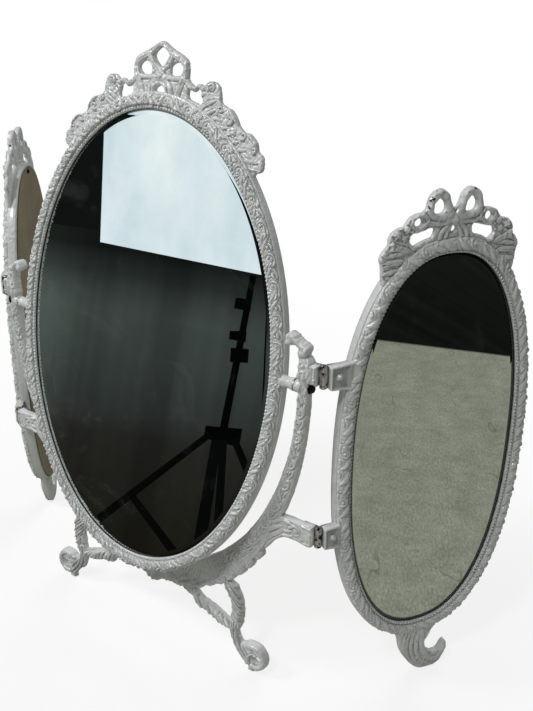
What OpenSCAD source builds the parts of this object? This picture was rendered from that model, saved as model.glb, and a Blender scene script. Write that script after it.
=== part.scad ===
/* [Centre mirror] */
// Sight width of the centre glass, mm
sight_w = 250; // [236:1:260]
// Sight height of the centre glass, mm
sight_h = 360; // [340:1:380]
// Width of the centre rim at the sides, mm
rim_side = 11; // [10.5:0.1:12.5]
// Width of the centre rim at top and bottom, mm
rim_end = 12; // [11.5:0.1:13.5]
// Depth of the outer ridge in front of the pivot axis, mm
ridge_front = 6.7; // [6:0.1:8]
// Depth of the castings behind the pivot axis, mm
rim_back = 6; // [5.8:0.1:6.8]
// Lean of the centre mirror in the rest pose, top to the back, degrees
lean = 8.4; // [0:0.1:14]
// Drop of the centre oval below its pivots, mm
pivot_above = 4.8; // [2:0.1:8]

// Thickness of the crest plates, mm
crest_t = 4; // [3.4:0.1:4.8]

/* [Wing mirrors] */
// Sight width of a wing glass, mm
wing_sight_w = 142.8; // [134:0.1:150]
// Sight height of a wing glass, mm
wing_sight_h = 309.2; // [300:0.1:318]
// Width of a wing rim at the sides, mm
wing_side = 11.9; // [11:0.1:13]
// Width of a wing rim at top and bottom, mm
wing_end = 11.7; // [11:0.1:13]
// Squareness of the wing ovals, 2 is an ellipse
wing_power = 2.31; // [2:0.01:2.5]
// Free space from hinge axis to wing rim at its widest, mm
wing_gap = 12; // [11.6:0.1:14]
// Height of a wing rim above the table, mm
wing_lift = 40.1; // [36:0.1:44]
// Swing of the right wing to the back in the rest pose, degrees
swing_right = 60.7; // [0:0.1:90]
// Swing of the left wing to the back in the rest pose, degrees
swing_left = 51.3; // [0:0.1:90]

/* [Glass and back] */
// Thickness of the mirror glass, mm
glass_t = 3; // [2.4:0.1:3.6]
// Width of the bevel, mm
bevel_w = 6; // [4:0.5:12]
// Height that the bevel takes off the glass edge, mm
bevel_drop = 1.2; // [0.6:0.1:1.5]
// Thickness of the lip in front of the glass, mm
lip_t = 2; // [1.6:0.1:2.4]
// Thickness of the backing board, mm
board_t = 3.2; // [2.4:0.1:4]
// Thickness of the packing card, mm
card_t = 2.8; // [2:0.1:3.4]
// Diameter of the board screws, mm
board_screw_d = 2.5; // [2:0.1:3]

/* [Stand] */
// Thickness of the stand casting, mm
stand_t = 9; // [8.6:0.1:10]
// Space from centre rim to arm, mm
arm_gap = 12.8; // [11.5:0.1:15]
// Space from centre rim to yoke at the bottom, mm
bottom_gap = 2.2; // [2:0.1:5]
// Width of the arms at the pivots, mm
arm_w = 9.7; // [9:0.1:11]
// Width of the yoke at its bottom, mm
belly_w = 23.4; // [20:0.1:26]
// Height of the yoke's inner edge above the table, mm
yoke_rise = 73.4; // [70:0.1:78]
// Half distance between the two stand feet, mm
stance = 108; // [105:0.5:111]

/* [Hinges and pivots] */
// Height of a hinge, mm
hinge_h = 16; // [14:0.5:16.5]
// Height of the wing lugs, mm
lug_h = 17.4; // [17:0.2:20]
// Outer diameter of the knuckles, mm
knuckle_d = 5.5; // [5:0.1:6]
// Diameter of the hinge pins, mm
pin_d = 2.4; // [2:0.1:2.8]
// Thickness of a hinge leaf, mm
leaf_t = 1; // [0.8:0.1:1.2]
// Reach of the leaves from the hinge axis, mm
leaf_reach = 13.2; // [12.6:0.1:13.4]
// Distance from the arm to the hinge axis, mm
hinge_out = 9.4; // [9:0.1:11]
// Upper hinge above the pivots, mm
upper_hinge = 10.8; // [10.6:0.1:13]
// Lower hinge below the pivots, mm
lower_hinge = 118; // [115:0.1:120]
// Diameter of the pivot screws, mm
pivot_d = 5; // [4:0.1:6]
// Diameter of the pivot bosses, mm
boss_d = 10; // [9:0.1:11]

/* [Hidden] */
$fn = 48;
sides = 88;             // corners of an oval
run = 0.05;             // radial play of a running fit
slack = 0.4;            // play round glass and board in their pockets
lip_front = -3.2;       // front of the lip, same on all three mirrors
lip_back = lip_front + lip_t;
glass_lap = 2;          // glass held behind the lip
board_lap = 8;          // board edge outside the sight line
screw_out = 5.2;        // board screws outside the sight line
glass_edge = lip_back + glass_lap * bevel_drop / bevel_w;
glass_back = glass_edge + glass_t - bevel_drop;
ledge = glass_back + card_t;
board_back = ledge + board_t;
wing_ridge = ridge_front + 0.5;
crest_back = rim_back - 0.8;
wing_back = rim_back + 0.1;

ring_a = sight_w / 2 + rim_side;
ring_b = sight_h / 2 + rim_end;
yoke_a = ring_a + arm_gap;
yoke_b = ring_b + bottom_gap + pivot_above;
pivot_z = yoke_rise + yoke_b;
hinge_x = yoke_a + arm_w + hinge_out;
hinge_y = 1.5;
wing_a = wing_sight_w / 2 + wing_side;
wing_b = wing_sight_h / 2 + wing_end;
wing_s = wing_gap + wing_a;
wing_z = wing_lift + wing_b;
edge_gap = 3.2;         // pad and lug edges to the hinge axis
pad_front = -3.5;
pad_back = hinge_y + knuckle_d / 2 - leaf_t;
rivet_s = 10;
rivet_d = 2.6;
washer_t = 1;
side_play = 0.1;
pivot_head = pivot_d / 2 + 1.5;
arm_boss = 1.7;         // arm bosses stand in from the arms
foot_w = 6.4;           // flat under each stand foot
screw_in = 8.9;         // stand leaf screws from the hinge axis
drawn_rise = 73.4;      // yoke rise that legs and struts are drawn for
drawn_lift = 40.1;      // wing lift that the hook foot is drawn for
joint_z = [pivot_z + upper_hinge, pivot_z - lower_hinge];

paint = "#e8e6df";
mirror = "#aab6b8";
card = "#8b8d88";
board = "#6d5a45";
steel = "#55565a";

// A point of an oval with half sizes a and b at angle t, moved out by d along its normal
function rim(a, b, e, t, d = 0) = let(
    c = cos(t), s = sin(t),
    x = a * sign(c) * pow(abs(c), 2 / e), y = b * sign(s) * pow(abs(s), 2 / e),
    g = [sign(c) * pow(abs(c), 2 - 2 / e) / a, sign(s) * pow(abs(s), 2 - 2 / e) / b])
  [x, y] + d * g / norm(g);
function round_off(p, n = 3) = let(k = len(p)) [for (i = [0:k - 1], j = [0:n - 1]) let(
    t = j / n, a = p[(i + k - 1) % k], b = p[i], c = p[(i + 1) % k], d = p[(i + 2) % k])
  (2 * b + (c - a) * t + (2 * a - 5 * b + 4 * c - d) * t * t + (3 * b - a - 3 * c + d) * t * t * t) / 2];
function centre_at(t, d) = rim(ring_a, ring_b, 2, t, d);
function wing_at(t, d) = rim(wing_a, wing_b, wing_power, t, d);

module oval(a, b, e = 2) polygon([for (i = [0:sides - 1]) rim(a, b, e, 360 * i / sides)]);
// Extrudes a front view from depth y0 to depth y1
module slab(y0, y1) translate([0, y1, 0]) rotate([90, 0, 0]) linear_extrude(y1 - y0) children();
module both() { children(); mirror([1, 0]) children(); }
module spot(p) translate([p[0], p[1]]) children();
// A dot bored or raised along the depth
module rod(p, r, y0, y1) translate([p[0], y1, p[1]]) rotate([90, 0, 0]) cylinder(r = r, h = y1 - y0);

// Sight ovals grown by r, in the rim's own proportion
module centre_oval(r) oval(sight_w / 2 + r, sight_h / 2 + r * rim_end / rim_side);
module wing_oval(r) oval(wing_sight_w / 2 + r, wing_sight_h / 2 + r * wing_end / wing_side, wing_power);
module hoop(wing, r0, r1, y0, y1) slab(y0, y1) difference() {
  if (wing) wing_oval(r1); else centre_oval(r1);
  if (wing) wing_oval(r0); else centre_oval(r0);
}
// The moulded rim: lip, bead band, leaf band, outer ridge, glass pocket and board pocket
module moulding(wing) {
  r = wing ? wing_side : rim_side;
  top = wing ? -wing_ridge : -ridge_front;
  hoop(wing, 0, r, lip_front, lip_back);
  hoop(wing, 1.4, r, lip_front - 1.4, lip_front);
  hoop(wing, 3.2, r - 0.8, top + 1.1, lip_front - 1.4);
  hoop(wing, 7.6, r - 0.8, top, top + 1.1);
  hoop(wing, glass_lap + slack, r, lip_back, ledge);
  hoop(wing, board_lap + slack, r, ledge, wing ? wing_back : rim_back);
}
module glass_body(wing) {
  a = (wing ? wing_sight_w : sight_w) / 2;
  b = (wing ? wing_sight_h : sight_h) / 2;
  k = wing ? wing_end / wing_side : rim_end / rim_side;
  slab(glass_edge, glass_back) if (wing) wing_oval(glass_lap); else centre_oval(glass_lap);
  translate([0, glass_edge, 0]) rotate([90, 0, 0])
    linear_extrude(bevel_drop, slices = 1, scale = [(a + glass_lap - bevel_w) / (a + glass_lap),
      (b + (glass_lap - bevel_w) * k) / (b + glass_lap * k)])
    if (wing) wing_oval(glass_lap); else centre_oval(glass_lap);
}
module card_body(wing) slab(glass_back, ledge)
  if (wing) wing_oval(glass_lap); else centre_oval(glass_lap);
module board_body(wing, spots) difference() {
  slab(ledge, board_back) if (wing) wing_oval(board_lap); else centre_oval(board_lap);
  for (p = spots) rod(p, board_screw_d / 2 + run, ledge - 1, board_back + 1);
}
module board_screws(spots) for (p = spots) {
  rod(p, board_screw_d / 2, ledge - 5.4, board_back);
  translate([p[0], board_back, p[1]]) rotate([-90, 0, 0]) cylinder(r1 = board_screw_d, r2 = board_screw_d * 0.56, h = 1.6);
}
centre_spots = [for (t = [55, 125, 235, 305])
  rim(sight_w / 2 + screw_out, sight_h / 2 + screw_out * rim_end / rim_side, 2, t)];
wing_spots = [for (t = [90, 270])
  rim(wing_sight_w / 2 + screw_out, wing_sight_h / 2 + screw_out * wing_end / wing_side, wing_power, t)];

// Front view of the centre crest: bow, ribbon links, rosettes and leaf sprays
crest = [[90, 35.8], [87.5, 32], [84.8, 29.4], [82, 26.6], [80.8, 20.3], [80, 13.8], [77.5, 11.1],
  [76, 14.6], [74.6, 15.5], [73.8, 19.5], [72.2, 21.9], [70.2, 21.1], [68.8, 17.1], [67.5, 13.1],
  [65.5, 13.6], [63.2, 14.6], [59.8, 11.6], [58, 11.4], [56, 14.1], [53.5, 15], [51.5, 12.8],
  [49.5, 13.6], [47.2, 8.4], [47.6, 2.5], [48.6, -1.6], [62, -1.6], [76, -1.6], [90, -1.6]];
module centre_crest() slab(crest_back - crest_t, crest_back) difference() {
  both() polygon(round_off([for (p = crest) centre_at(p[0], p[1])]));
  polygon(round_off([for (p = [[90, 31.6], [87.7, 25.4], [90, 18.2], [92.3, 25.4]]) centre_at(p[0], p[1])]));
  polygon(round_off([for (p = [[90, 4.2], [88.1, 1.4], [90, 0.6], [91.9, 1.4]]) centre_at(p[0], p[1])], 2));
  both() {
    polygon(round_off([for (p = [[86.5, 18.6], [84.5, 22.3], [82.5, 19.6], [83.3, 14.2], [86.1, 13.3]]) centre_at(p[0], p[1])]));
    polygon(round_off([for (p = [[78.9, 7.6], [77, 7], [75.5, 11.4], [73.4, 4], [74.4, 2], [78.2, 1.8]]) centre_at(p[0], p[1])], 2));
  }
  centre_oval(board_lap + slack);
}
boss_end = yoke_a - arm_boss - side_play - washer_t;
module centre_pose() translate([0, 0, pivot_z]) rotate([-lean, 0, 0]) translate([0, 0, -pivot_above]) children();
// A rod along the pivot axis from x0 to x1
module pivot_rod(r, x0, x1) translate([x0, 0, pivot_above]) rotate([0, 90, 0]) cylinder(r = r, h = x1 - x0);
module centre_frame() color(paint) centre_pose() difference() {
  union() {
    moulding(false);
    centre_crest();
    pivot_rod(boss_d / 2, ring_a - 1.8, boss_end);
    mirror([1, 0, 0]) pivot_rod(boss_d / 2, ring_a - 1.8, boss_end);
  }
  pivot_rod(pivot_d / 2, ring_a - 0.8, boss_end + 1);
  mirror([1, 0, 0]) pivot_rod(pivot_d / 2, ring_a - 0.8, boss_end + 1);
  for (p = centre_spots) rod(p, board_screw_d / 2, ledge - 5.5, ledge + 1);
}
module centre_glass() color(mirror) centre_pose() glass_body(false);
module centre_packing() color(card) centre_pose() card_body(false);
module centre_backboard() color(board) centre_pose() board_body(false, centre_spots);
module centre_board_screws() color(steel) centre_pose() board_screws(centre_spots);
module pivot_screw_right() color(steel) centre_pose() {
  pivot_rod(pivot_d / 2, ring_a - 0.8, yoke_a + arm_w + side_play);
  translate([yoke_a + arm_w + side_play, 0, pivot_above]) rotate([0, 90, 0])
    cylinder(r1 = pivot_head, r2 = pivot_head * 0.6, h = 2.6);
}
module pivot_screw_left() mirror([1, 0, 0]) pivot_screw_right();
module pivot_washer_right() color(steel) centre_pose() difference() {
  pivot_rod(boss_d / 2 - 0.3, boss_end, boss_end + washer_t);
  pivot_rod(pivot_d / 2, boss_end - 1, boss_end + washer_t + 1);
}
module pivot_washer_left() mirror([1, 0, 0]) pivot_washer_right();

// Front views of the stand, right half. Legs and struts are drawn from the foot, heads from the pivot.
leg = [[-35, 88], [-33, 78], [-28, 75], [-23.5, 67.5], [-19.8, 58], [-19.3, 42], [-19.3, 28.3],
  [-14, 16.4], [-7.5, 9.5], [-3.4, 4.5], [0, 2], [4.6, 2.8], [9.6, 4.2], [14.4, 9], [16.6, 17.2],
  [13.5, 24.4], [7.3, 29.5], [-2, 28.4], [-9.3, 23.6], [-14.4, 28.8], [-15.5, 34.5], [-11.4, 41.8],
  [-8.3, 53.4], [-9, 62], [-11, 70], [-15.5, 77.5], [-21, 81], [-24, 86], [-26, 92]];
strut = [[-74, 52], [-62.7, 45.8], [-57.3, 39.6], [-46.2, 38], [-35.4, 33.2], [-28, 32.6], [-19, 35],
  [-17.5, 39], [-25, 42], [-31, 45], [-40, 47.6], [-52, 50.4], [-62.3, 58.5], [-70, 64]];
head = [[0, 5.6], [-0.4, 15.6], [0, 25.2], [-2.3, 29.2], [-7.3, 29], [-10.4, 31.8], [-10.6, 36.2],
  [-7.3, 38.9], [-2.8, 37.6], [1.9, 33.6], [6.6, 32.5], [8.6, 29.4], [7.2, 24.6], [11.2, 19.4],
  [11.4, 12], [9.4, 5.6]];
bracket = [[-46, -26], [-40, -19.6], [-34.5, -13.4], [-28.5, -9], [-22.6, -7.6], [-15, -8],
  [-3.2, -8], [-3.2, 8], [-12, 8.4], [-26, 8.4], [-34, 6.4], [-44, -4]];
module yoke() {
  difference() {
    intersection() {
      spot([0, pivot_z]) oval(yoke_a + arm_w, yoke_b + belly_w);
      translate([-hinge_x, 0]) square([2 * hinge_x, pivot_z + upper_hinge + hinge_h / 2]);
    }
    spot([0, pivot_z]) oval(yoke_a, yoke_b, 1.9);
  }
  both() {
    for (t = [-44 : -4.3 : -79])
      spot([0, pivot_z] + rim(yoke_a + arm_w, yoke_b + belly_w, 2, t, -0.8)) circle(3.9);
    for (t = [0 : 32 : 64])
      spot([8.6 * sin(t), yoke_rise - belly_w + 5 - 6 * cos(t)]) circle(4.2);
  }
}
module stand_side() {
  rise = yoke_rise / drawn_rise;
  difference() {
    spot([stance, 0]) {
      scale([1, rise]) { polygon(round_off(leg)); polygon(round_off(strut)); }
      translate([-foot_w / 2, 0]) square([foot_w, 6]);
    }
    spot([stance + 6.7, 13.6 * rise]) scale([4, 2.4]) circle(1);
  }
  spot([yoke_a, pivot_z]) polygon(round_off(head));
}
module stand_frame() color(paint) difference() {
  union() {
    slab(-stand_t / 2, stand_t / 2) { yoke(); both() stand_side(); }
    slab(pad_front, pad_back) both() {
      spot([hinge_x, joint_z[0]]) translate([-hinge_out - arm_w / 2, -hinge_h / 2])
        square([hinge_out + arm_w / 2 - edge_gap, hinge_h]);
      spot([hinge_x, joint_z[1]]) polygon([for (p = bracket) [p[0], abs(p[1]) == 8 && p[0] > -16 ? sign(p[1]) * hinge_h / 2 : p[1]]]);
    }
    for (k = [0, 1]) mirror([k, 0, 0]) translate([yoke_a - arm_boss, 0, pivot_z]) rotate([0, 90, 0])
      cylinder(d = boss_d, h = arm_boss + arm_w / 2);
  }
  for (k = [0, 1]) mirror([k, 0, 0]) {
    translate([yoke_a - arm_boss - 1, 0, pivot_z]) rotate([0, 90, 0])
      cylinder(r = pivot_d / 2 + run, h = arm_boss + arm_w + 2);
    translate([yoke_a + arm_w, 0, pivot_z]) rotate([0, 90, 0]) cylinder(r = pivot_head + 0.6, h = hinge_out);
    translate([hinge_x - leaf_reach - 0.4, pad_back, joint_z[0] - hinge_h / 2 - 0.4])
      cube([leaf_reach, stand_t, hinge_h + 0.8]);
    for (z = joint_z) rod([hinge_x - screw_in, z], rivet_d / 2, pad_front + 2, pad_back + 1);
  }
}
module stand_leaf_screws() color(steel) for (k = [0, 1], z = joint_z) mirror([k, 0, 0]) {
  rod([hinge_x - screw_in, z], rivet_d / 2, pad_front + 2.2, pad_back + leaf_t);
  translate([hinge_x - screw_in, pad_back + leaf_t, z]) rotate([-90, 0, 0])
    cylinder(r1 = rivet_d * 0.85, r2 = rivet_d * 0.5, h = 1.2);
}

// A hinge leaf on the left of its axis; the outer one carries two knuckles, the inner one the middle
module leaf(outer, hole) {
  third = hinge_h / 6;
  spans = outer ? [[-hinge_h / 2, -third - side_play], [third + side_play, hinge_h / 2]]
    : [[-third, third]];
  depth = knuckle_d / 2 - leaf_t;
  difference() {
    union() {
      translate([-leaf_reach, depth, -hinge_h / 2]) cube([leaf_reach - edge_gap, leaf_t, hinge_h]);
      for (k = spans) translate([0, 0, k[0]]) {
        translate([-edge_gap - 0.1, depth, 0]) cube([edge_gap + 0.1, leaf_t, k[1] - k[0]]);
        cylinder(d = knuckle_d, h = k[1] - k[0]);
      }
    }
    cylinder(r = pin_d / 2 + (outer ? 0 : run), h = 2 * hinge_h, center = true);
    rod([-hole, 0], rivet_d / 2 + run, depth - 1, depth + leaf_t + 1);
  }
}
module at_hinge(k, z) mirror([k, 0, 0]) translate([hinge_x, hinge_y, joint_z[z]]) children();
module pin() {
  cylinder(d = pin_d, h = hinge_h, center = true);
  for (k = [0, 1]) mirror([0, 0, k]) translate([0, 0, hinge_h / 2])
    cylinder(r1 = pin_d / 2 + 0.8, r2 = pin_d / 2 + 0.3, h = 0.9);
}
module stand_leaf_upper_right() color(steel) at_hinge(0, 0) leaf(true, screw_in);
module stand_leaf_lower_right() color(steel) at_hinge(0, 1) leaf(true, screw_in);
module stand_leaf_upper_left() color(steel) at_hinge(1, 0) leaf(true, screw_in);
module stand_leaf_lower_left() color(steel) at_hinge(1, 1) leaf(true, screw_in);
module hinge_pin_upper_right() color(steel) at_hinge(0, 0) pin();
module hinge_pin_lower_right() color(steel) at_hinge(0, 1) pin();
module hinge_pin_upper_left() color(steel) at_hinge(1, 0) pin();
module hinge_pin_lower_left() color(steel) at_hinge(1, 1) pin();

// Wings are drawn flat: x out from the hinge axis, y back from it
spray = [[90, 20.2], [89, 23.7], [88.5, 28.8], [87.2, 32.5], [85.8, 34.3], [83.5, 32.9], [81.8, 28.8],
  [80.8, 23.9], [79.2, 22], [77, 23.1], [74.8, 22.8], [73, 20.8], [71.5, 20], [70, 21.4], [68.2, 21.8],
  [66, 20.4], [64.2, 16.8], [61.8, 16.4], [59.3, 14.6], [57.5, 9.5], [55, 5], [53, -1.6], [64, -1.6],
  [77, -1.6], [90, -1.6]];
window = [[82.2, 8.3], [81.2, 2.9], [77, 2.8], [72.4, 2.8], [71.9, 8], [73.5, 10.7], [77.2, 9]];
hook = [[-19.5, 48], [-18.6, 36], [-16, 25], [-11, 15.4], [-5, 7.6], [2, 2], [9.5, 0.4], [18, 0.6],
  [24, 5], [28.6, 14.5], [27.8, 21.4], [24.8, 19.4], [21.5, 14.5], [16, 13.6], [11, 17], [7.3, 22.5],
  [6.5, 29], [10, 36], [14.5, 42], [16, 49]];
// Distance from the hinge axis to a wing rim's edge at height z
function edge_s(z) = wing_s - wing_a * pow(1 - pow(abs(z - wing_z) / wing_b, wing_power), 1 / wing_power);
module wing_crest() slab(-2.8, crest_t - 2.8) difference() {
  both() polygon(round_off([for (p = spray) wing_at(p[0], p[1])]));
  both() {
    spot(wing_at(85, 22)) circle(4.9);
    spot(wing_at(77.1, 16.6)) circle(2.5);
    polygon(round_off([for (p = window) wing_at(p[0], p[1])], 2));
  }
  spot(wing_at(90, 5.6)) circle(1.8);
  wing_oval(board_lap + slack);
}
module wing_foot() slab(-6.6, 1.4) difference() {
  spot([0, -wing_z]) {
    scale([1, wing_lift / drawn_lift]) polygon(round_off(hook));
    translate([9.5, 0]) square([9, 3]);
  }
  wing_oval(wing_side - 1.2);
}
module wing_frame() difference() {
  union() {
    translate([wing_s, 0, wing_z]) { moulding(true); wing_crest(); wing_foot(); }
    slab(pad_front - hinge_y, pad_back - hinge_y) for (z = joint_z)
      translate([edge_gap, z - lug_h / 2 - 0.8]) square([edge_s(z) + 2.6 - edge_gap, lug_h]);
  }
  for (z = joint_z) {
    rod([rivet_s, z], rivet_d / 2, -wing_sight_w, 2 * wing_back);
    translate([edge_gap, pad_back - hinge_y, z - hinge_h / 2 - 0.4]) cube([leaf_reach - edge_gap + 0.4, wing_back, hinge_h + 0.8]);
  }
  translate([wing_s, 0, wing_z]) for (p = wing_spots) rod(p, board_screw_d / 2, ledge - 5.5, ledge + 1);
}
module wing_rivets() for (z = joint_z) {
  front = pad_front - hinge_y;
  back = pad_back - hinge_y + leaf_t;
  rod([rivet_s, z], rivet_d / 2, front, back);
  translate([rivet_s, front, z]) rotate([90, 0, 0]) cylinder(r1 = rivet_d, r2 = rivet_d / 2, h = 1.8);
  translate([rivet_s, back, z]) rotate([-90, 0, 0]) cylinder(r1 = rivet_d * 0.85, r2 = rivet_d / 2, h = 1);
}
module wing_leaf(z) translate([0, 0, joint_z[z]]) mirror([1, 0, 0]) leaf(false, rivet_s);
module on_wing() translate([wing_s, 0, wing_z]) children();
module right_pose() translate([hinge_x, hinge_y, 0]) rotate([0, 0, swing_right]) children();
module left_pose() mirror([1, 0, 0]) translate([hinge_x, hinge_y, 0]) rotate([0, 0, swing_left]) children();

module right_wing_frame() color(paint) right_pose() wing_frame();
module right_wing_glass() color(mirror) right_pose() on_wing() glass_body(true);
module right_wing_packing() color(card) right_pose() on_wing() card_body(true);
module right_wing_backboard() color(board) right_pose() on_wing() board_body(true, wing_spots);
module right_wing_board_screws() color(steel) right_pose() on_wing() board_screws(wing_spots);
module right_wing_leaf_upper() color(steel) right_pose() wing_leaf(0);
module right_wing_leaf_lower() color(steel) right_pose() wing_leaf(1);
module right_wing_rivets() color(steel) right_pose() wing_rivets();
module left_wing_frame() color(paint) left_pose() wing_frame();
module left_wing_glass() color(mirror) left_pose() on_wing() glass_body(true);
module left_wing_packing() color(card) left_pose() on_wing() card_body(true);
module left_wing_backboard() color(board) left_pose() on_wing() board_body(true, wing_spots);
module left_wing_board_screws() color(steel) left_pose() on_wing() board_screws(wing_spots);
module left_wing_leaf_upper() color(steel) left_pose() wing_leaf(0);
module left_wing_leaf_lower() color(steel) left_pose() wing_leaf(1);
module left_wing_rivets() color(steel) left_pose() wing_rivets();

stand_frame();
stand_leaf_upper_right();
stand_leaf_lower_right();
stand_leaf_upper_left();
stand_leaf_lower_left();
hinge_pin_upper_right();
hinge_pin_lower_right();
hinge_pin_upper_left();
hinge_pin_lower_left();
stand_leaf_screws();
centre_frame();
centre_glass();
centre_packing();
centre_backboard();
centre_board_screws();
pivot_screw_right();
pivot_screw_left();
pivot_washer_right();
pivot_washer_left();
right_wing_frame();
right_wing_glass();
right_wing_packing();
right_wing_backboard();
right_wing_board_screws();
right_wing_leaf_upper();
right_wing_leaf_lower();
right_wing_rivets();
left_wing_frame();
left_wing_glass();
left_wing_packing();
left_wing_backboard();
left_wing_board_screws();
left_wing_leaf_upper();
left_wing_leaf_lower();
left_wing_rivets();
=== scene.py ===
import functools
import math
import bpy
import numpy as np
from mathutils import Matrix, Vector


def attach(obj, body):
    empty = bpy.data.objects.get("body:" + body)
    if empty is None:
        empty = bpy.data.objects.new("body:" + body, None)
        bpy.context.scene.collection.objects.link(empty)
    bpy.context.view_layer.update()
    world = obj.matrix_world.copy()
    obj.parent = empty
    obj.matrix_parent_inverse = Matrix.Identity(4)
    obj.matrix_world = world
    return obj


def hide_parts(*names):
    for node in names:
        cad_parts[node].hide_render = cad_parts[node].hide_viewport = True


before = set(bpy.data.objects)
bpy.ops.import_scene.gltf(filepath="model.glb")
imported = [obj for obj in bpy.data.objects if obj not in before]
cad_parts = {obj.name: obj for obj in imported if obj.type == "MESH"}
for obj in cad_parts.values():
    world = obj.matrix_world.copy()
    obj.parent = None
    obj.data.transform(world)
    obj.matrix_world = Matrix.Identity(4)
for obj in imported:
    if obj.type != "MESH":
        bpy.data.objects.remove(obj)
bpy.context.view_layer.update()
print("loaded", len(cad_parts), "nodes")

# Sizes are in millimetres; x is right, y is back, z is up, the table is z = 0.
# dark is the width in mm of the painted shadow at each glass's rim; lower is how much it grows towards the lower
# outer side
mirrorSizes = {
    "centre": {
        "sight": (125.0, 180.0), "rim": (11.0, 12.0), "power": 2.0, "rear": 6.0, "dark": 1.2, "lower": 0.0,
        "crown": [
            (3.0, -3.4), (3.7, -4.5), (4.8, -5.1), (6.2, -5.2), (7.6, -4.9), (8.8, -4.1), (9.6, -2.9), (9.9, -1.4)]},
    "wing": {
        "sight": (71.4, 154.6), "rim": (11.9, 11.7), "power": 2.31, "rear": 6.1, "dark": 2.1, "lower": 1.3,
        "crown": [
            (3.0, -3.4), (3.8, -4.8), (5.0, -5.5), (6.6, -5.6), (8.2, -5.3), (9.6, -4.3), (10.5, -2.9),
            (10.8, -1.4)]},
}
stance = {
    "pivotHeight": 272.4, "lean": 8.4, "ringDrop": 4.8, "hingeX": 167.9, "hingeY": 1.5, "wingX": 95.3,
    "wingHeight": 206.4, "swingRight": 60.7, "swingLeft": 51.3, "upperHinge": 283.2, "lowerHinge": 154.4,
}


# Places: every shape is worked out flat in its own mirror's plane and then stood up.


# Turns a centre mirror point back by the lean and lifts it on to its pivots.
def placeCentre(p):
    c, s = math.cos(math.radians(stance["lean"])), math.sin(math.radians(stance["lean"]))
    z = p[:, 2] - stance["ringDrop"]
    return np.stack([p[:, 0], p[:, 1] * c + z * s, stance["pivotHeight"] + z * c - p[:, 1] * s], -1)


# Swings a wing point, given from the middle of its mirror, round its hinge axis; side is 1 on the right and -1
# on the left.
def placeWing(p, side):
    p = p + [stance["wingX"], 0, stance["wingHeight"]]
    a = math.radians(stance["swingRight"] if side > 0 else stance["swingLeft"])
    x = stance["hingeX"] + p[:, 0] * math.cos(a) - p[:, 1] * math.sin(a)
    return np.stack([side * x, stance["hingeY"] + p[:, 0] * math.sin(a) + p[:, 1] * math.cos(a), p[:, 2]], -1)


def placeStand(p):
    return p


# Joins closed shells into one mesh object in metres. A shell is its points, its four-cornered faces and,
# for a carved one, how deep each point lies in the carving and how worn it is, from 0 to 1. A shell that
# is inside out, as its signed volume tells, has its faces turned. A piece is white paint unless told otherwise.
def makePiece(name, shells, place, body, replaced=(), material=None, sharp=None):
    points, faces, hollow, worn, count = [], [], [], [], 0
    for shell in shells:
        p, f = place(np.asarray(shell[0], float)) * 0.001, np.asarray(shell[1], np.int64)
        a, b, c, d = (p[f[:, k]] for k in range(4))
        volume = (a * np.cross(b, c)).sum() + (a * np.cross(c, d)).sum()
        points.append(p)
        faces.append((f if volume > 0 else f[:, ::-1]) + count)
        hollow.append(shell[2] if len(shell) > 2 else np.zeros(len(p)))
        worn.append(shell[3] if len(shell) > 3 else np.zeros(len(p)))
        count += len(p)
    points, faces = np.concatenate(points), np.concatenate(faces)
    mesh = bpy.data.meshes.new(name)
    mesh.vertices.add(len(points))
    mesh.vertices.foreach_set("co", points.ravel())
    mesh.loops.add(faces.size)
    mesh.loops.foreach_set("vertex_index", faces.ravel())
    mesh.polygons.add(len(faces))
    mesh.polygons.foreach_set("loop_start", np.arange(0, faces.size, 4))
    mesh.polygons.foreach_set("loop_total", np.full(len(faces), 4))
    mesh.polygons.foreach_set("use_smooth", np.ones(len(faces), bool))
    for key, values in (("hollow", hollow), ("worn", worn)):
        layer = mesh.attributes.new(key, "FLOAT", "POINT")
        layer.data.foreach_set("value", np.concatenate(values).astype(np.float32))
    mesh.update(calc_edges=True)
    mesh.validate()
    if sharp is not None:
        mesh.set_sharp_from_angle(angle=math.radians(sharp))
    piece = bpy.data.objects.new(name, mesh)
    bpy.context.scene.collection.objects.link(piece)
    mesh.materials.append(material or paint)
    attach(piece, body)
    if replaced:
        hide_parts(*replaced)
    print("piece", name, len(faces) * 2, "triangles")


# Curves in a front view.


# An oval with half axes a and b and power e, at angles t in radians: x = a cos^(2/e), z = b sin^(2/e).
def ovalLine(a, b, e, t):
    c, s = (np.where(np.abs(v) < 1e-9, 1e-9, v) for v in (np.cos(t), np.sin(t)))
    return np.stack([a * np.sign(c) * np.abs(c) ** (2 / e), b * np.sign(s) * np.abs(s) ** (2 / e)], -1)


def circleLine(at, r, number=32):
    return np.asarray(at) + ovalLine(r, r, 2, np.linspace(0, 2 * np.pi, number, endpoint=False))


# The sight oval grown by r, in the rim's own proportion, at angles t in radians.
def ovalAt(kind, t, r):
    size = mirrorSizes[kind]
    return ovalLine(size["sight"][0] + r, size["sight"][1] + r * size["rim"][1] / size["rim"][0], size["power"], t)


# A point of a ring's outer oval at an angle in degrees, moved out by d along the oval's normal.
def rimPoint(kind, angle, d=0.0):
    size = mirrorSizes[kind]
    a, b, e = size["sight"][0] + size["rim"][0], size["sight"][1] + size["rim"][1], size["power"]
    t = np.radians(angle)
    normal = ovalLine(1 / a, 1 / b, 2 / (2 - 2 / e), t)
    normal /= np.linalg.norm(normal, axis=-1, keepdims=True)
    return ovalLine(a, b, e, t) + np.asarray(d)[..., None] * normal


def onRim(kind, pairs):
    pairs = np.asarray(pairs, float)
    return rimPoint(kind, pairs[:, 0], pairs[:, 1])


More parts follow.
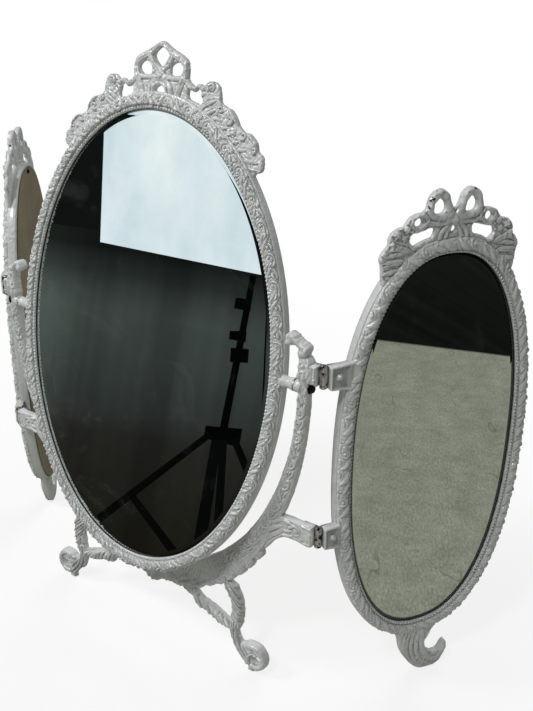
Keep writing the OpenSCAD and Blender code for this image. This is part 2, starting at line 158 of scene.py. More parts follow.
# Rounds a path through its points with the Catmull-Rom cubic, n pieces between two points.
def rounded(points, n=4, closed=False):
    p = np.asarray(points, float)
    ends = np.concatenate([p[-1:], p, p[:2]]) if closed else np.concatenate([p[:1], p, p[-1:]])
    a, b, c, d = ends[:-3], ends[1:-2], ends[2:-1], ends[3:]
    t = (np.arange(n) / n)[None, :, None]
    a, b, c, d = a[:, None], b[:, None], c[:, None], d[:, None]
    curve = (2 * b + (c - a) * t + (2 * a - 5 * b + 4 * c - d) * t ** 2 + (3 * b - a - 3 * c + d) * t ** 3) / 2
    curve = curve.reshape(-1, 2)
    return curve if closed else np.concatenate([curve, p[-1:]])


# Height fields over a front view.


def gridOver(low, high, step):
    xs, zs = np.arange(low[0], high[0] + step, step), np.arange(low[1], high[1] + step, step)
    return np.meshgrid(xs, zs)


# Even-odd test of every grid point against one closed outline, edge by edge on whole rows.
def insideOf(x, z, loop):
    inside, rowsAt = np.zeros(x.shape, bool), z[:, 0]
    for (ax, az), (bx, bz) in zip(loop, np.roll(loop, -1, axis=0)):
        rows = (rowsAt >= min(az, bz)) & (rowsAt < max(az, bz))
        if rows.any():
            cross = ax + (rowsAt[rows] - az) * (bx - ax) / (bz - az)
            inside[rows] ^= x[rows] < cross[:, None]
    return inside


# Distance to a path for the grid points within reach, with the length along it and the side, -1 or 1.
def alongPath(x, z, path, reach):
    distance, run, side = np.full(x.shape, 99.0), np.zeros(x.shape), np.ones(x.shape)
    left, low, step, done = x[0, 0], z[0, 0], x[0, 1] - x[0, 0], 0.0
    for (ax, az), (bx, bz) in zip(path[:-1], path[1:]):
        dx, dz = bx - ax, bz - az
        length = math.hypot(dx, dz)
        if length < 1e-9:
            continue
        i0, i1 = int((min(ax, bx) - reach - left) / step), int((max(ax, bx) + reach - left) / step) + 2
        j0, j1 = int((min(az, bz) - reach - low) / step), int((max(az, bz) + reach - low) / step) + 2
        if i1 > 0 and j1 > 0 and i0 < x.shape[1] and j0 < x.shape[0]:
            w = np.s_[max(j0, 0):j1, max(i0, 0):i1]
            px, pz = x[w] - ax, z[w] - az
            f = np.clip((px * dx + pz * dz) / length ** 2, 0, 1)
            away = np.hypot(px - f * dx, pz - f * dz)
            nearer = away < distance[w]
            distance[w] = np.where(nearer, away, distance[w])
            run[w] = np.where(nearer, done + f * length, run[w])
            side[w] = np.where(nearer, np.where(dx * pz - dz * px < 0, -1.0, 1.0), side[w])
        done += length
    return distance, run / max(done, 1e-9), side, done


# Signed distance to outlines, positive inside: the largest over the solids, cut by the holes.
def outlineField(x, z, solids, holes=(), reach=9.0):
    field = np.full(x.shape, -reach)
    for loop in solids:
        distance = np.minimum(alongPath(x, z, np.concatenate([loop, loop[:1]]), reach)[0], reach)
        field = np.maximum(field, np.where(insideOf(x, z, loop), distance, -distance))
    for loop in holes:
        distance = np.minimum(alongPath(x, z, np.concatenate([loop, loop[:1]]), reach)[0], reach)
        field = np.minimum(field, np.where(insideOf(x, z, loop), -distance, distance))
    return field


# Between four neighbours of a table that repeats: f and g are the shares of the next row and column.
def blend(table, i, j, f, g):
    rows, columns = table.shape
    below, above = (table[(i + k) % rows, j % columns] * (1 - g) + table[(i + k) % rows, (j + 1) % columns] * g
                    for k in (0, 1))
    return below * (1 - f) + above * f


# Smooth random heights from a seeded lattice, about -1 to 1, wave in mm.
def valueNoise(x, z, wave, seed):
    lattice = np.random.default_rng(seed).uniform(-1, 1, (64, 64))
    u, v = x / wave, z / wave
    i, j = np.floor(u).astype(int), np.floor(v).astype(int)
    f, g = u - i, v - j
    return blend(lattice, i, j, f * f * (3 - 2 * f), g * g * (3 - 2 * g))


# Carved folds: narrow valleys where a warped noise crosses zero.
def folds(x, z, wave, seed):
    u = x + wave * 0.8 * valueNoise(x, z, wave * 1.7, seed + 1)
    v = z + wave * 0.8 * valueNoise(x, z, wave * 1.7, seed + 2)
    return np.minimum(np.abs(valueNoise(u, v, wave, seed)) * 3.0, 1.0)


# The part of a grid within reach of a set of points, or None.
def windowOf(x, z, points, reach):
    step = x[0, 1] - x[0, 0]
    low = np.floor((points.min(0) - reach - [x[0, 0], z[0, 0]]) / step).astype(int)
    high = np.ceil((points.max(0) + reach - [x[0, 0], z[0, 0]]) / step).astype(int) + 1
    low, high = np.maximum(low, 0), np.minimum(high, [x.shape[1], x.shape[0]])
    return np.s_[low[1]:high[1], low[0]:high[0]] if (high - low > 2).all() else None


# Lays one carved stroke over a height field. Its section is a half round, its width follows its kind: "band" is
# even with round ends, "leaf" swells and comes to a point, "tail" only tapers. A narrow moat runs round it.
def addStroke(height, moat, x, z, path, kind="leaf", width=1.5, tall=1.0, reeds=0, vein=0.0, ribs=0.0):
    w = windowOf(x, z, path, width + 1.2)
    if w is None:
        return
    distance, f, side, length = alongPath(x[w], z[w], path, width + 1.0)
    if kind == "leaf":
        spread = np.sin(np.pi * np.clip(f, 0.02, 0.98) ** 0.75) ** 0.8
    elif kind == "tail":
        spread = 1 - 0.75 * f
    else:
        spread = np.ones_like(f)
    q = distance / (width * spread + 1e-6)
    body = tall * np.sqrt(np.clip(1 - q * q, 0, 1)) * (0.35 + 0.65 * spread)
    if reeds:
        body *= 0.72 + 0.28 * np.abs(np.sin(np.pi * (reeds * 0.5 * (1 + q * side))))
    if vein:
        body -= vein * np.exp(-(distance / 0.4) ** 2) * (q < 1)
    if ribs:
        body *= 0.8 + 0.2 * np.cos(2 * np.pi * (f * length / ribs - 0.9 * q))
    height[w] = np.maximum(height[w], body)
    moat[w] = np.maximum(moat[w], np.exp(-((distance - width * spread - 0.1) / 0.42) ** 2))


# A dome of radius r, or a rosette of petals round a knob, on a height field.
def addDome(height, moat, x, z, at, r, tall, petals=0, turn=0.0):
    w = windowOf(x, z, np.array([at]), r + 1.2)
    if w is None:
        return
    dx, dz = x[w] - at[0], z[w] - at[1]
    away = np.hypot(dx, dz) / r
    body = tall * np.sqrt(np.clip(1 - away ** 2, 0, 1))
    if petals:
        lobe = np.abs(np.cos(petals * (np.arctan2(dz, dx) + turn) / 2))
        body = tall * np.sqrt(np.clip(1 - (away / (0.78 + 0.22 * lobe)) ** 2, 0, 1)) * (0.62 + 0.38 * lobe)
        body = np.maximum(body, tall * 1.15 * np.sqrt(np.clip(1 - (away / 0.3) ** 2, 0, 1)))
    height[w] = np.maximum(height[w], body)
    moat[w] = np.maximum(moat[w], np.exp(-(((away - 1) * r - 0.1) / 0.42) ** 2))


# A curl: a spiral of radius r at its start, r (1 - 0.7 u) at u of its 1.3 turns; way is 1 or -1.
def curl(at, r, start, way):
    u = np.linspace(0, 1, 18)
    angle = math.radians(start) + way * u * 2.6 * math.pi
    return np.asarray(at) + (r * (1 - 0.7 * u))[:, None] * np.stack([np.cos(angle), np.sin(angle)], -1)


# Thick paint over a relief: each pass weighs a point 2 to 1 with its neighbours, until it has spread by some mm.
def soften(height, step, spread=0.22):
    for k in range(max(int(round(2 * (spread / step) ** 2)), 1)):
        p = np.pad(height, 1, mode="edge")
        p = (p[:-2] + 2 * p[1:-1] + p[2:]) / 4
        height = (p[:, :-2] + 2 * p[:, 1:-1] + p[:, 2:]) / 4
    return height


# Carved relief: the strokes and domes stand on a folded ground with a moat cut round each of them.
def carve(x, z, strokes, domes, ground, wave, seed, lumps=0.34):
    height, moat = np.zeros(x.shape), np.zeros(x.shape)
    for form, width, tall, extra, path in strokes:
        addStroke(height, moat, x, z, path, form, width, tall, **extra)
    for dome in domes:
        addDome(height, moat, x, z, *dome)
    rough = lumps * (valueNoise(x, z, 2.3, seed + 5) + 0.5 * valueNoise(x, z, 1.1, seed + 6))
    height = np.maximum(height, ground * (0.4 + 0.6 * folds(x, z, wave, seed)) * (1 - 0.85 * moat)) + rough
    return soften(height, x[0, 1] - x[0, 0])


# A piece's strokes with each path moved and rounded; each of the moves gives one copy.
def placed(strokes, *moves):
    return [(form, width, tall, extra, rounded(move(np.array(path)), 4))
            for form, width, tall, extra, path in strokes for move in moves or (lambda path: path,)]


# How much painted shade and dust a relief holds, 0 to 1: by how far a point is below its neighbours reach away; it
# darkens the paint in the hollows.
def shadeAndDustOf(height, step, reach=0.7, full=0.34):
    n = max(int(round(reach / step)), 1)
    around = sum(np.roll(height, k, axis) for axis in (0, 1) for k in (-n, n)) / 4
    return np.clip((around - height) / full, 0, 1)


# A plate cut to field > 0 on its own grid: the points at the cut slide on to the outline, the front
# lies at front, the back at rear, and a wall joins them. All arrays are y values over the grid.
def plateShell(x, z, field, front, rear, depth=None, worn=None):
    middle = (field[:-1, :-1] + field[1:, :-1] + field[:-1, 1:] + field[1:, 1:]) / 4
    keep = middle > 0
    touched = np.zeros(x.shape, int)
    for di, dj in ((0, 0), (1, 0), (0, 1), (1, 1)):
        touched[di:di + keep.shape[0], dj:dj + keep.shape[1]] += keep
    used, rim = touched > 0, (touched > 0) & (touched < 4)
    step = x[0, 1] - x[0, 0]
    gz, gx = np.gradient(field, step)
    size = np.maximum(gx ** 2 + gz ** 2, 0.3)
    shift = np.where(rim, np.clip(-field, -0.7 * step, 0.7 * step), 0.0)
    px, pz = x + shift * gx / size, z + shift * gz / size
    index = np.full(x.shape, -1)
    index[used] = np.arange(used.sum())
    count = used.sum()
    points = np.concatenate([np.stack([px[used], front[used], pz[used]], -1),
                             np.stack([px[used], rear[used], pz[used]], -1)])
    a, b, c, d = index[:-1, :-1][keep], index[:-1, 1:][keep], index[1:, 1:][keep], index[1:, :-1][keep]
    faces = [np.stack([a, b, c, d], -1), np.stack([d, c, b, a], -1) + count]
    padded = np.pad(keep, 1)
    corners = {"low": (index[:-1, :-1], index[:-1, 1:]), "high": (index[1:, 1:], index[1:, :-1]),
               "left": (index[1:, :-1], index[:-1, :-1]), "right": (index[:-1, 1:], index[1:, 1:])}
    beyond = {"low": padded[:-2, 1:-1], "high": padded[2:, 1:-1], "left": padded[1:-1, :-2],
              "right": padded[1:-1, 2:]}
    for key, (p, q) in corners.items():
        bare = keep & ~beyond[key]
        p, q = p[bare], q[bare]
        faces.append(np.stack([q, p, p + count, q + count], -1))
    values = [np.concatenate([np.zeros(count) if v is None else v[used], np.zeros(count)]) for v in (depth, worn)]
    return points, np.concatenate(faces), values[0], values[1]


# Height of a rounded edge: a quarter circle of radius r from the outline inwards, 0 to 1.
def edgeRound(field, r):
    return np.sqrt(np.clip(1 - (1 - np.clip(field / r, 0, 1)) ** 2, 0, 1))


# A carved casting from its field and its relief: shoulders of radius edge, at which front and back fall away,
# and a relief that comes up over rise mm from the outline, with painted shade and dust in its hollows.
def castShell(x, z, field, detail, front, rear, edge, falls, rise=0.9, shadeAndDust=1.0, worn=None):
    inward = np.clip(field, 0, None)
    shoulder = edgeRound(inward, edge)
    face = front + falls[0] * (1 - shoulder) - detail * np.clip(inward / rise, 0, 1)
    depth = shadeAndDustOf(detail, x[0, 1] - x[0, 0]) * np.clip(inward * shadeAndDust, 0, 1)
    return plateShell(x, z, field, face, rear - falls[1] * (1 - shoulder), depth, worn)


# Lets a share of the relief move the outline, except at the feet, so that strokes run on over the edge.
def overEdge(z, field, detail, share):
    return field + share * (detail - 1.1) * np.clip((z - 3) / 6, 0, 1)


# A surface on a grid of points (rows, columns, 3); it can close on itself either way.
def gridShell(grid, closeRows=True, closeColumns=True):
    rows, columns = grid.shape[:2]
    index = np.arange(rows * columns).reshape(rows, columns)
    if closeRows:
        index = np.concatenate([index, index[:1]])
    if closeColumns:
        index = np.concatenate([index, index[:, :1]], 1)
    faces = np.stack([index[:-1, :-1], index[1:, :-1], index[1:, 1:], index[:-1, 1:]], -1).reshape(-1, 4)
    return grid.reshape(-1, 3), faces


# Finishes.


# sRGB hex to linear colour
def tone(code):
    v = np.array([int(code[k:k + 2], 16) for k in (1, 3, 5)]) / 255
    return tuple(np.where(v <= 0.04045, v / 12.92, ((v + 0.055) / 1.055) ** 2.4)) + (1.0,)


# Adds a node: its inputs in their own order or by name, each a value, a socket or a node whose first output is
# meant, its settings, and a ramp's stops as places and hex colours.
def addNode(tree, kind, inputs=(), settings=(), stops=()):
    made = tree.nodes.new("ShaderNode" + kind)
    for key, value in dict(settings).items():
        setattr(made, key, value)
    for k, (at, code) in enumerate(stops):
        element = made.color_ramp.elements[k] if k < 2 else made.color_ramp.elements.new(at)
        element.position, element.color = at, tone(code)
    for key, value in inputs.items() if isinstance(inputs, dict) else enumerate(inputs):
        value = value.outputs[0] if isinstance(value, bpy.types.Node) else value
        if isinstance(value, bpy.types.NodeSocket):
            tree.links.new(value, made.inputs[key])
        else:
            made.inputs[key].default_value = value
    return made


# Empties a material's or a world's node tree and gives addNode for it.
def openTree(owner):
    owner.use_nodes = True
    owner.node_tree.nodes.clear()
    return functools.partial(addNode, owner.node_tree)


def newMaterial(name):
    material = bpy.data.materials.new(name)
    add = openTree(material)
    return material, add, add("TexCoord").outputs["Object"]


# Gloss oil paint laid thick over cast metal: soft edges, brush drag, painted shade and dust darkening the carving,
# dark chips where worn.
def whitePaint():
    material, add, place = newMaterial("gloss white oil paint on cast metal")
    hollow, worn = (add("Attribute", settings={"attribute_name": key}).outputs["Fac"] for key in ("hollow", "worn"))
    cloud = add("TexNoise", {"Vector": place, "Scale": 45.0, "Detail": 4.0, "Roughness": 0.6})  # 22 mm patches
    base = add("ValToRGB", [cloud], stops=[(0.3, "#d3d6d5"), (0.7, "#e2e5e4")])
    # painted shade and dust: the paint darkens towards #5d5f5b in the carving's hollows
    creaseShadeAndDust = add("MapRange", [hollow, 0.05, 0.9, 0.0, 0.7])
    shadeAndDust = add("MixRGB", [creaseShadeAndDust, base, tone("#5d5f5b")])
    speck = add("TexNoise", {"Vector": place, "Scale": 320.0, "Detail": 3.0})  # 3 mm chips
    rare = add("MapRange", [worn, 0.0, 1.0, 0.76, 0.51])
    past = add("Math", [speck, rare], {"operation": "SUBTRACT"})
    bare = add("MapRange", [past, 0.0, 0.015])
    painted = add("MixRGB", [bare, shadeAndDust, tone("#23211f")])
    drag = add("TexNoise", {"Vector": place, "Scale": 300.0, "Detail": 4.0, "Roughness": 0.55})  # 3 mm brush drag
    bumps = add("Bump", {"Strength": 0.6, "Distance": 0.0013, "Height": drag})
    gloss = add("MapRange", [cloud, 0.3, 0.7, 0.24, 0.36])
    shader = add("BsdfPrincipled", {"Base Color": painted, "Roughness": gloss, "Normal": bumps, "Coat Weight": 0.55,
                                    "Coat Roughness": 0.14})
    add("OutputMaterial", [shader])
    return material


# Silvered plate glass: a faint green cast, a film of dust that dulls it in patches, smears that show pale over
# dark reflections, and a painted shadow at the rim, a dark band standing in for the lip's shade seen in the glass.
def silveredGlass(name, cast):
    material, add, place = newMaterial(name)
    smear = add("TexNoise", {"Vector": place, "Scale": 16.0, "Detail": 9.0, "Roughness": 0.7, "Distortion": 1.2})
    haze = add("MapRange", [smear, 0.55, 0.8, 1.0, 0.95])
    dust = add("TexNoise", {"Vector": place, "Scale": 30.0, "Detail": 6.0, "Roughness": 0.65})
    colour = add("ValToRGB", [dust], stops=[(0.35, cast[0]), (0.75, cast[1])])
    # painted shadow: the glass's rim darkened towards #1e2321, standing in for the lip's shade seen in it
    rim = add("Attribute", settings={"attribute_name": "hollow"}).outputs["Fac"]
    paintedRimShadow = add("MixRGB", [rim, colour, tone("#1e2321")])
    film = add("MapRange", [dust, 0.4, 0.8, 0.0, 0.025])
    shader = add("BsdfPrincipled", {"Base Color": paintedRimShadow, "Metallic": haze, "Roughness": film})
    add("OutputMaterial", [shader])
    return material


# Grey pulp card behind the glass
def pulpCard():
    material, add, place = newMaterial("grey pulp card")
    fibre = add("TexNoise", {"Vector": place, "Scale": 600.0, "Detail": 5.0})  # 1.7 mm flecks
    colour = add("ValToRGB", [fibre], stops=[(0.3, "#7d7f7a"), (0.7, "#96978f")])
    rough = add("Bump", {"Strength": 0.3, "Distance": 0.0003, "Height": fibre})
    shader = add("BsdfPrincipled", {"Base Color": colour, "Roughness": 0.9, "Normal": rough})
    add("OutputMaterial", [shader])
    return material


# Pressed hardboard: brown fibres under a dull smoked face, with water stains and scuffs.
def hardboard():
    material, add, place = newMaterial("pressed hardboard")
    stain = add("TexNoise", {"Vector": place, "Scale": 14.0, "Detail": 5.0, "Roughness": 0.6})  # 70 mm stains
    fibre = add("TexNoise", {"Vector": place, "Scale": 900.0, "Detail": 4.0})  # 1.1 mm fibres
    base = add("ValToRGB", [stain], stops=[(0.3, "#857c6a"), (0.55, "#978d78"), (0.75, "#a89e86")])
    fine = add("ValToRGB", [fibre], stops=[(0.3, "#b0a894"), (0.7, "#ffffff")])
    both = add("MixRGB", [0.6, base, fine], {"blend_type": "MULTIPLY"})
    rough = add("Bump", {"Strength": 0.25, "Distance": 0.0003, "Height": fibre})
    shader = add("BsdfPrincipled", {"Base Color": both, "Roughness": 0.62, "Normal": rough})
    add("OutputMaterial", [shader])
    return material


# Mild steel, plated once and now dull: bright where it rubs, brown-black in patches.
def wornSteel(name, dark, bright, share):
    material, add, place = newMaterial(name)
    patch = add("TexNoise", {"Vector": place, "Scale": 280.0, "Detail": 4.0, "Roughness": 0.6})  # 3.5 mm patches
    colour = add("ValToRGB", [patch], stops=[(share - 0.04, dark), (share + 0.05, bright)])
    rub = add("MapRange", [patch, 0.3, 0.7, 0.6, 0.28])
    pits = add("Bump", {"Strength": 0.2, "Distance": 0.0002, "Height": patch})
    shader = add("BsdfPrincipled", {"Base Color": colour, "Metallic": 0.85, "Roughness": rub, "Normal": pits})
    add("OutputMaterial", [shader])
    return material


paint = whitePaint()
centreSilver = silveredGlass("silvered plate glass", ("#dfe4e3", "#d3dad8"))
wingSilver = silveredGlass("older silvered plate glass", ("#cbd0c8", "#bcc1b6"))
card, board = pulpCard(), hardboard()
hingeSteel = wornSteel("worn plated steel", "#141312", "#d2d0ca", 0.47)
screwSteel = wornSteel("blackened screw steel", "#161514", "#5d5a55", 0.58)
print("finishes done")


# The three mirror rings.

# Each repeat of a leaf band is drawn flat: s along the rim and r across it, both in mm. A stroke is its kind,
# half width and path. C-scrolls turn in on a ball, with split leaves between them.
# dust weighs the painted shade and dust that darken each band's hollows
centreBand = {
    "length": 43.4, "width": 9.8, "repeats": 24, "deep": 1.9, "dust": 1.0, "seed": 5, "around": 2900,
    "strokes": [
        ("tail", 1.35, [(0.6, 7.0), (3.4, 8.6), (7.2, 8.2), (9.9, 5.6), (9.4, 2.6), (6.8, 1.4), (4.4, 2.8),
            (5.4, 4.8)]),
        ("leaf", 1.2, [(-1.2, 1.4), (1.4, 1.6), (3.0, 4.4)]),
        ("leaf", 1.4, [(10.6, 1.4), (14.4, 2.2), (18.4, 5.2), (22.2, 8.4)]),
        ("leaf", 1.1, [(11.0, 8.2), (14.2, 8.0), (17.0, 6.6)]),
        ("leaf", 1.2, [(16.4, 1.4), (20.2, 1.8), (22.8, 3.8), (25.4, 4.6)]),
        ("leaf", 0.9, [(12.6, 5.8), (14.6, 5.4), (16.0, 4.6)]),
        ("leaf", 0.9, [(19.8, 4.4), (21.8, 5.8), (24.2, 6.2)]),
        ("tail", 1.35, [(23.0, 8.6), (27.0, 8.8), (31.0, 7.8), (33.4, 4.8), (32.2, 1.9), (29.2, 1.4), (27.2, 3.4),
            (28.8, 5.4)]),
        ("leaf", 1.2, [(33.6, 8.4), (37.0, 8.8), (40.4, 7.4), (43.0, 6.6)]),
        ("leaf", 1.3, [(34.4, 1.4), (38.0, 1.6), (41.0, 3.8), (43.8, 5.6)]),
        ("leaf", 0.9, [(35.2, 6.4), (38.6, 5.2), (40.2, 5.2)]), ("leaf", 0.8, [(0.4, 4.6), (2.4, 5.8), (4.0, 6.2)])],
    "balls": [(10.9, 4.8, 1.0), (26.0, 1.8, 0.9), (37.4, 3.6, 0.9), (7.0, 5.0, 0.9), (30.2, 4.6, 0.9)],
}
wingBand = {
    "length": 41.1, "width": 10.6, "repeats": 20, "deep": 1.8, "dust": 0.5, "seed": 8, "around": 2300,
    "strokes": [
        ("leaf", 2.4, [(-3.0, 1.2), (2.0, 2.2), (6.6, 5.0), (10.4, 9.2)]),
        ("leaf", 1.9, [(5.4, 1.2), (9.8, 1.8), (14.2, 4.0), (17.4, 7.6)]),
        ("tail", 1.6, [(17.8, 9.0), (22.2, 9.5), (26.2, 7.8), (27.0, 4.4), (24.2, 2.0), (21.2, 3.0), (21.4, 5.6)]),
        ("leaf", 1.3, [(11.4, 9.6), (14.6, 8.8), (17.2, 9.8)]),
        ("leaf", 0.9, [(14.4, 1.2), (17.4, 1.8), (19.6, 4.4)]),
        ("leaf", 2.2, [(26.0, 1.2), (30.6, 2.0), (34.8, 4.8), (37.8, 8.8)]),
        ("leaf", 1.3, [(28.6, 8.9), (31.6, 8.0), (33.8, 9.4)]),
        ("leaf", 0.9, [(34.2, 1.2), (36.8, 1.5), (38.6, 3.4)]),
        ("band", 0.5, [(-2.6, 9.8), (-0.6, 7.6), (2.4, 7.6)])],
    "balls": [(24.0, 5.4, 1.0), (14.2, 6.9, 0.8)],
}


# One repeat of a band: its heights and its painted shade and dust in the hollows, each from 0 to 1.
def bandTile(band, step=0.15):
    length = band["length"]
    s, r = gridOver((0, 0), (length, band["width"]), step)
    strokes, domes = [], []
    for shift in (-length, 0, length):
        strokes += [(form, wide, 1.0, {}, rounded(np.array(path) + [shift, 0], 4))
                    for form, wide, path in band["strokes"]]
        domes += [((at + shift, across), radius, 1.0) for at, across, radius in band["balls"]]
    height = np.clip(carve(s, r, strokes, domes, ground=0.45, wave=2.4, seed=band["seed"], lumps=0.0), 0, 1)
    return height, band["dust"] * shadeAndDustOf(height * band["deep"], step, reach=0.5, full=0.26)


# Reads a repeat at any length along and place across, from 0 to 1, between its grid points.
def readTile(tile, length, s, across):
    u = (s % length) / length * (tile.shape[1] - 2)
    v = np.clip(across, 0, 0.999) * (tile.shape[0] - 2)
    i, j = v.astype(int), u.astype(int)
    return blend(tile, i, j, v - i, u - j)


# Angles at even lengths along an oval, and the whole length.
def evenAngles(kind, r, number):
    fine = np.linspace(0, 2 * np.pi, 20001)
    run = np.concatenate([[0], np.cumsum(np.hypot(*np.diff(ovalAt(kind, fine, r), axis=0).T))])
    return np.interp(run[-1] * np.arange(number) / number, run, fine), run[-1]


# The line that a ring's leaf band lies on: (r, y) and outward normals at f, from the lip at 0 over the
# crown to the outer side at 1, by length along the line.
def bandLine(kind, f):
    p = rounded(mirrorSizes[kind]["crown"], 8)
    run = np.concatenate([[0], np.cumsum(np.hypot(*np.diff(p, axis=0).T))])
    at = np.stack([np.interp(f * run[-1], run, p[:, k]) for k in (0, 1)], -1)
    slope = np.gradient(at, axis=0)
    slope /= np.linalg.norm(slope, axis=-1, keepdims=True)
    return at, np.stack([slope[:, 1], -slope[:, 0]], -1)


# Carries a profile of (r, y) round the sight oval at angles t: a row of points for each of its points.
def aroundOval(kind, t, profile):
    return np.stack([np.insert(ovalAt(kind, t, r), 1, y, axis=1) for r, y in profile])


# The ring without its band: a closed profile of (r, y) carried round the sight oval.
def ringShell(kind, around=900):
    size = mirrorSizes[kind]
    side, rear = size["rim"][0], size["rear"]
    line, normal = bandLine(kind, np.linspace(0, 1, 14))
    front = [(0.5, -1.2), (0.0, -1.5), (0.0, -2.7), (0.2, -3.05), (0.7, -3.25), (1.2, -3.2), (1.5, -3.0), (2.6, -2.9)]
    outside = [
        (side - 0.5, -1.4), (side - 0.12, -1.05), (side, -0.5), (side, 2.5), (side, rear - 1.2),
        (side - 0.3, rear - 0.4), (side - 1.0, rear), (8.9, rear), (8.5, rear - 0.3), (8.4, rear - 0.9), (8.4, 4.0),
        (8.2, 3.8), (2.6, 3.8), (2.4, 3.6), (2.4, -1.0), (2.2, -1.2)]
    t = evenAngles(kind, side * 0.55, around)[0]
    return gridShell(aroundOval(kind, t, front + list(line - 0.3 * normal) + outside).transpose(1, 0, 2))


# The leaf band: its repeats stand on the band line along its normals; two rows close it inside the ring.
def bandShell(kind):
    band, around = bands[kind], bands[kind]["around"]
    t, length = evenAngles(kind, mirrorSizes[kind]["rim"][0] * 0.55, around)
    along = length * np.arange(around) / around
    f = np.linspace(0, 1, 31)
    line, normal = bandLine(kind, f)
    fade = np.clip(0.3 + 7.0 * f, 0, 1) * np.clip(3.4 * (1.0 - f) + 0.2, 0, 1)
    # dust: the painted shade and dust in the band's hollows, read from the tiles
    high, dust = (readTile(tile, length / band["repeats"], along[:, None], f[None, :]) for tile in tiles[kind])
    lumps = [valueNoise(along[:, None], 9.8 * f[None, :], wave, seed) for wave, seed in ((2.6, 7), (1.2, 9))]
    high = band["deep"] * high * fade * 0.93 + 0.26 * (lumps[0] + 0.6 * lumps[1]) * fade
    r, y = line[:, 0] + high * normal[:, 0], line[:, 1] + high * normal[:, 1]
    inner = (line - 0.6 * normal)[[-1, 0]]
    r, y = (np.concatenate([a, np.broadcast_to(inner[:, k], (around, 2))], 1) for k, a in enumerate((r, y)))
    flat = ovalAt(kind, t[:, None], r)
    return (*gridShell(np.stack([flat[..., 0], y, flat[..., 1]], -1)), np.pad(dust, ((0, 0), (0, 2))).ravel())


# Bead line along the lip: small domes of a few dozen faces, whose rims sink into the lip.
def beadShell(kind, pitch=2.85, radius=1.12, r=1.15, y=-3.2):
    number = int(round(evenAngles(kind, r, 8)[1] / pitch))
    centres = ovalAt(kind, evenAngles(kind, r, number)[0], r)
    rings, turns = np.radians([4, 32, 60, 88, 116]), np.linspace(0, 2 * np.pi, 9)[:-1]
    dome = np.stack([np.sin(rings)[:, None] * np.cos(turns), -np.cos(rings)[:, None] * np.ones(8),
                     np.sin(rings)[:, None] * np.sin(turns)], -1) * radius
    points = dome[None] + np.stack([centres[:, 0], np.full(number, y), centres[:, 1]], -1)[:, None, None, :]
    index = np.arange(number * 40).reshape(number, 5, 8)
    index = np.concatenate([index, index[:, :, :1]], 2)
    walls = np.stack([index[:, :-1, :-1], index[:, 1:, :-1], index[:, 1:, 1:], index[:, :-1, 1:]], -1).reshape(-1, 4)
    caps = [np.stack([index[:, k, corner] for corner in four[::order]], -1)
            for k, order in ((0, 1), (4, -1)) for four in ((0, 1, 2, 3), (0, 3, 4, 7), (4, 5, 6, 7))]
    return points.reshape(-1, 3), np.concatenate([walls] + caps)


# Bevelled plate: flat back and front with a sloping edge; both flats are strips between the two halves of the oval.
# The outermost part of the bevel counts as hollow: there a painted shadow darkens the silver, over a width that
# grows by "lower" towards the lower outer side.
def glassShell(kind, number=720):
    t = evenAngles(kind, 0, number)[0]
    dark = mirrorSizes[kind]["dark"] + mirrorSizes[kind]["lower"] * np.clip(np.cos(t + 0.75), 0, 1)
    slope = 0.056 * (dark + 1.9)
    profile = [(1.9, 1.0), (2.0, 0.9), (2.0, -0.98), (1.9, -1.1), (-dark, -1.1 - slope), (-dark - 0.4, -1.12 - slope),
               (-3.95, -1.43), (-4.1, -1.45)]
    points, faces = gridShell(aroundOval(kind, t, profile), closeRows=False)
    k = np.arange(number // 2 - 1)
    strip = np.stack([k, k + 1, number - 2 - k, number - 1 - k], -1)
    rim = np.repeat(np.where(np.arange(len(profile)) < 5, 0.85, 0.0), number)
    return points, np.concatenate([faces, strip, strip[:, ::-1] + number * (len(profile) - 1)]), rim


bands = {"centre": centreBand, "wing": wingBand}
tiles = {kind: bandTile(band) for kind, band in bands.items()}
mirrors = (("centre", "centre", "centre_mirror", placeCentre, centreSilver),
           ("right_wing", "wing", "right_wing", lambda p: placeWing(p, 1), wingSilver),
           ("left_wing", "wing", "left_wing", lambda p: placeWing(p, -1), wingSilver))
for name, kind, body, place, silver in mirrors:
    makePiece(name + "_ring", [ringShell(kind)], place, body, [name + "_frame"])
    makePiece(name + "_leaf_band", [bandShell(kind)], place, body)
    makePiece(name + "_beading", [beadShell(kind)], place, body)
    makePiece(name + "_mirror_glass", [glassShell(kind)], place, body, [name + "_glass"], silver,
              sharp=5)


# Crests: bow, links, rosettes and leaves over the rings.

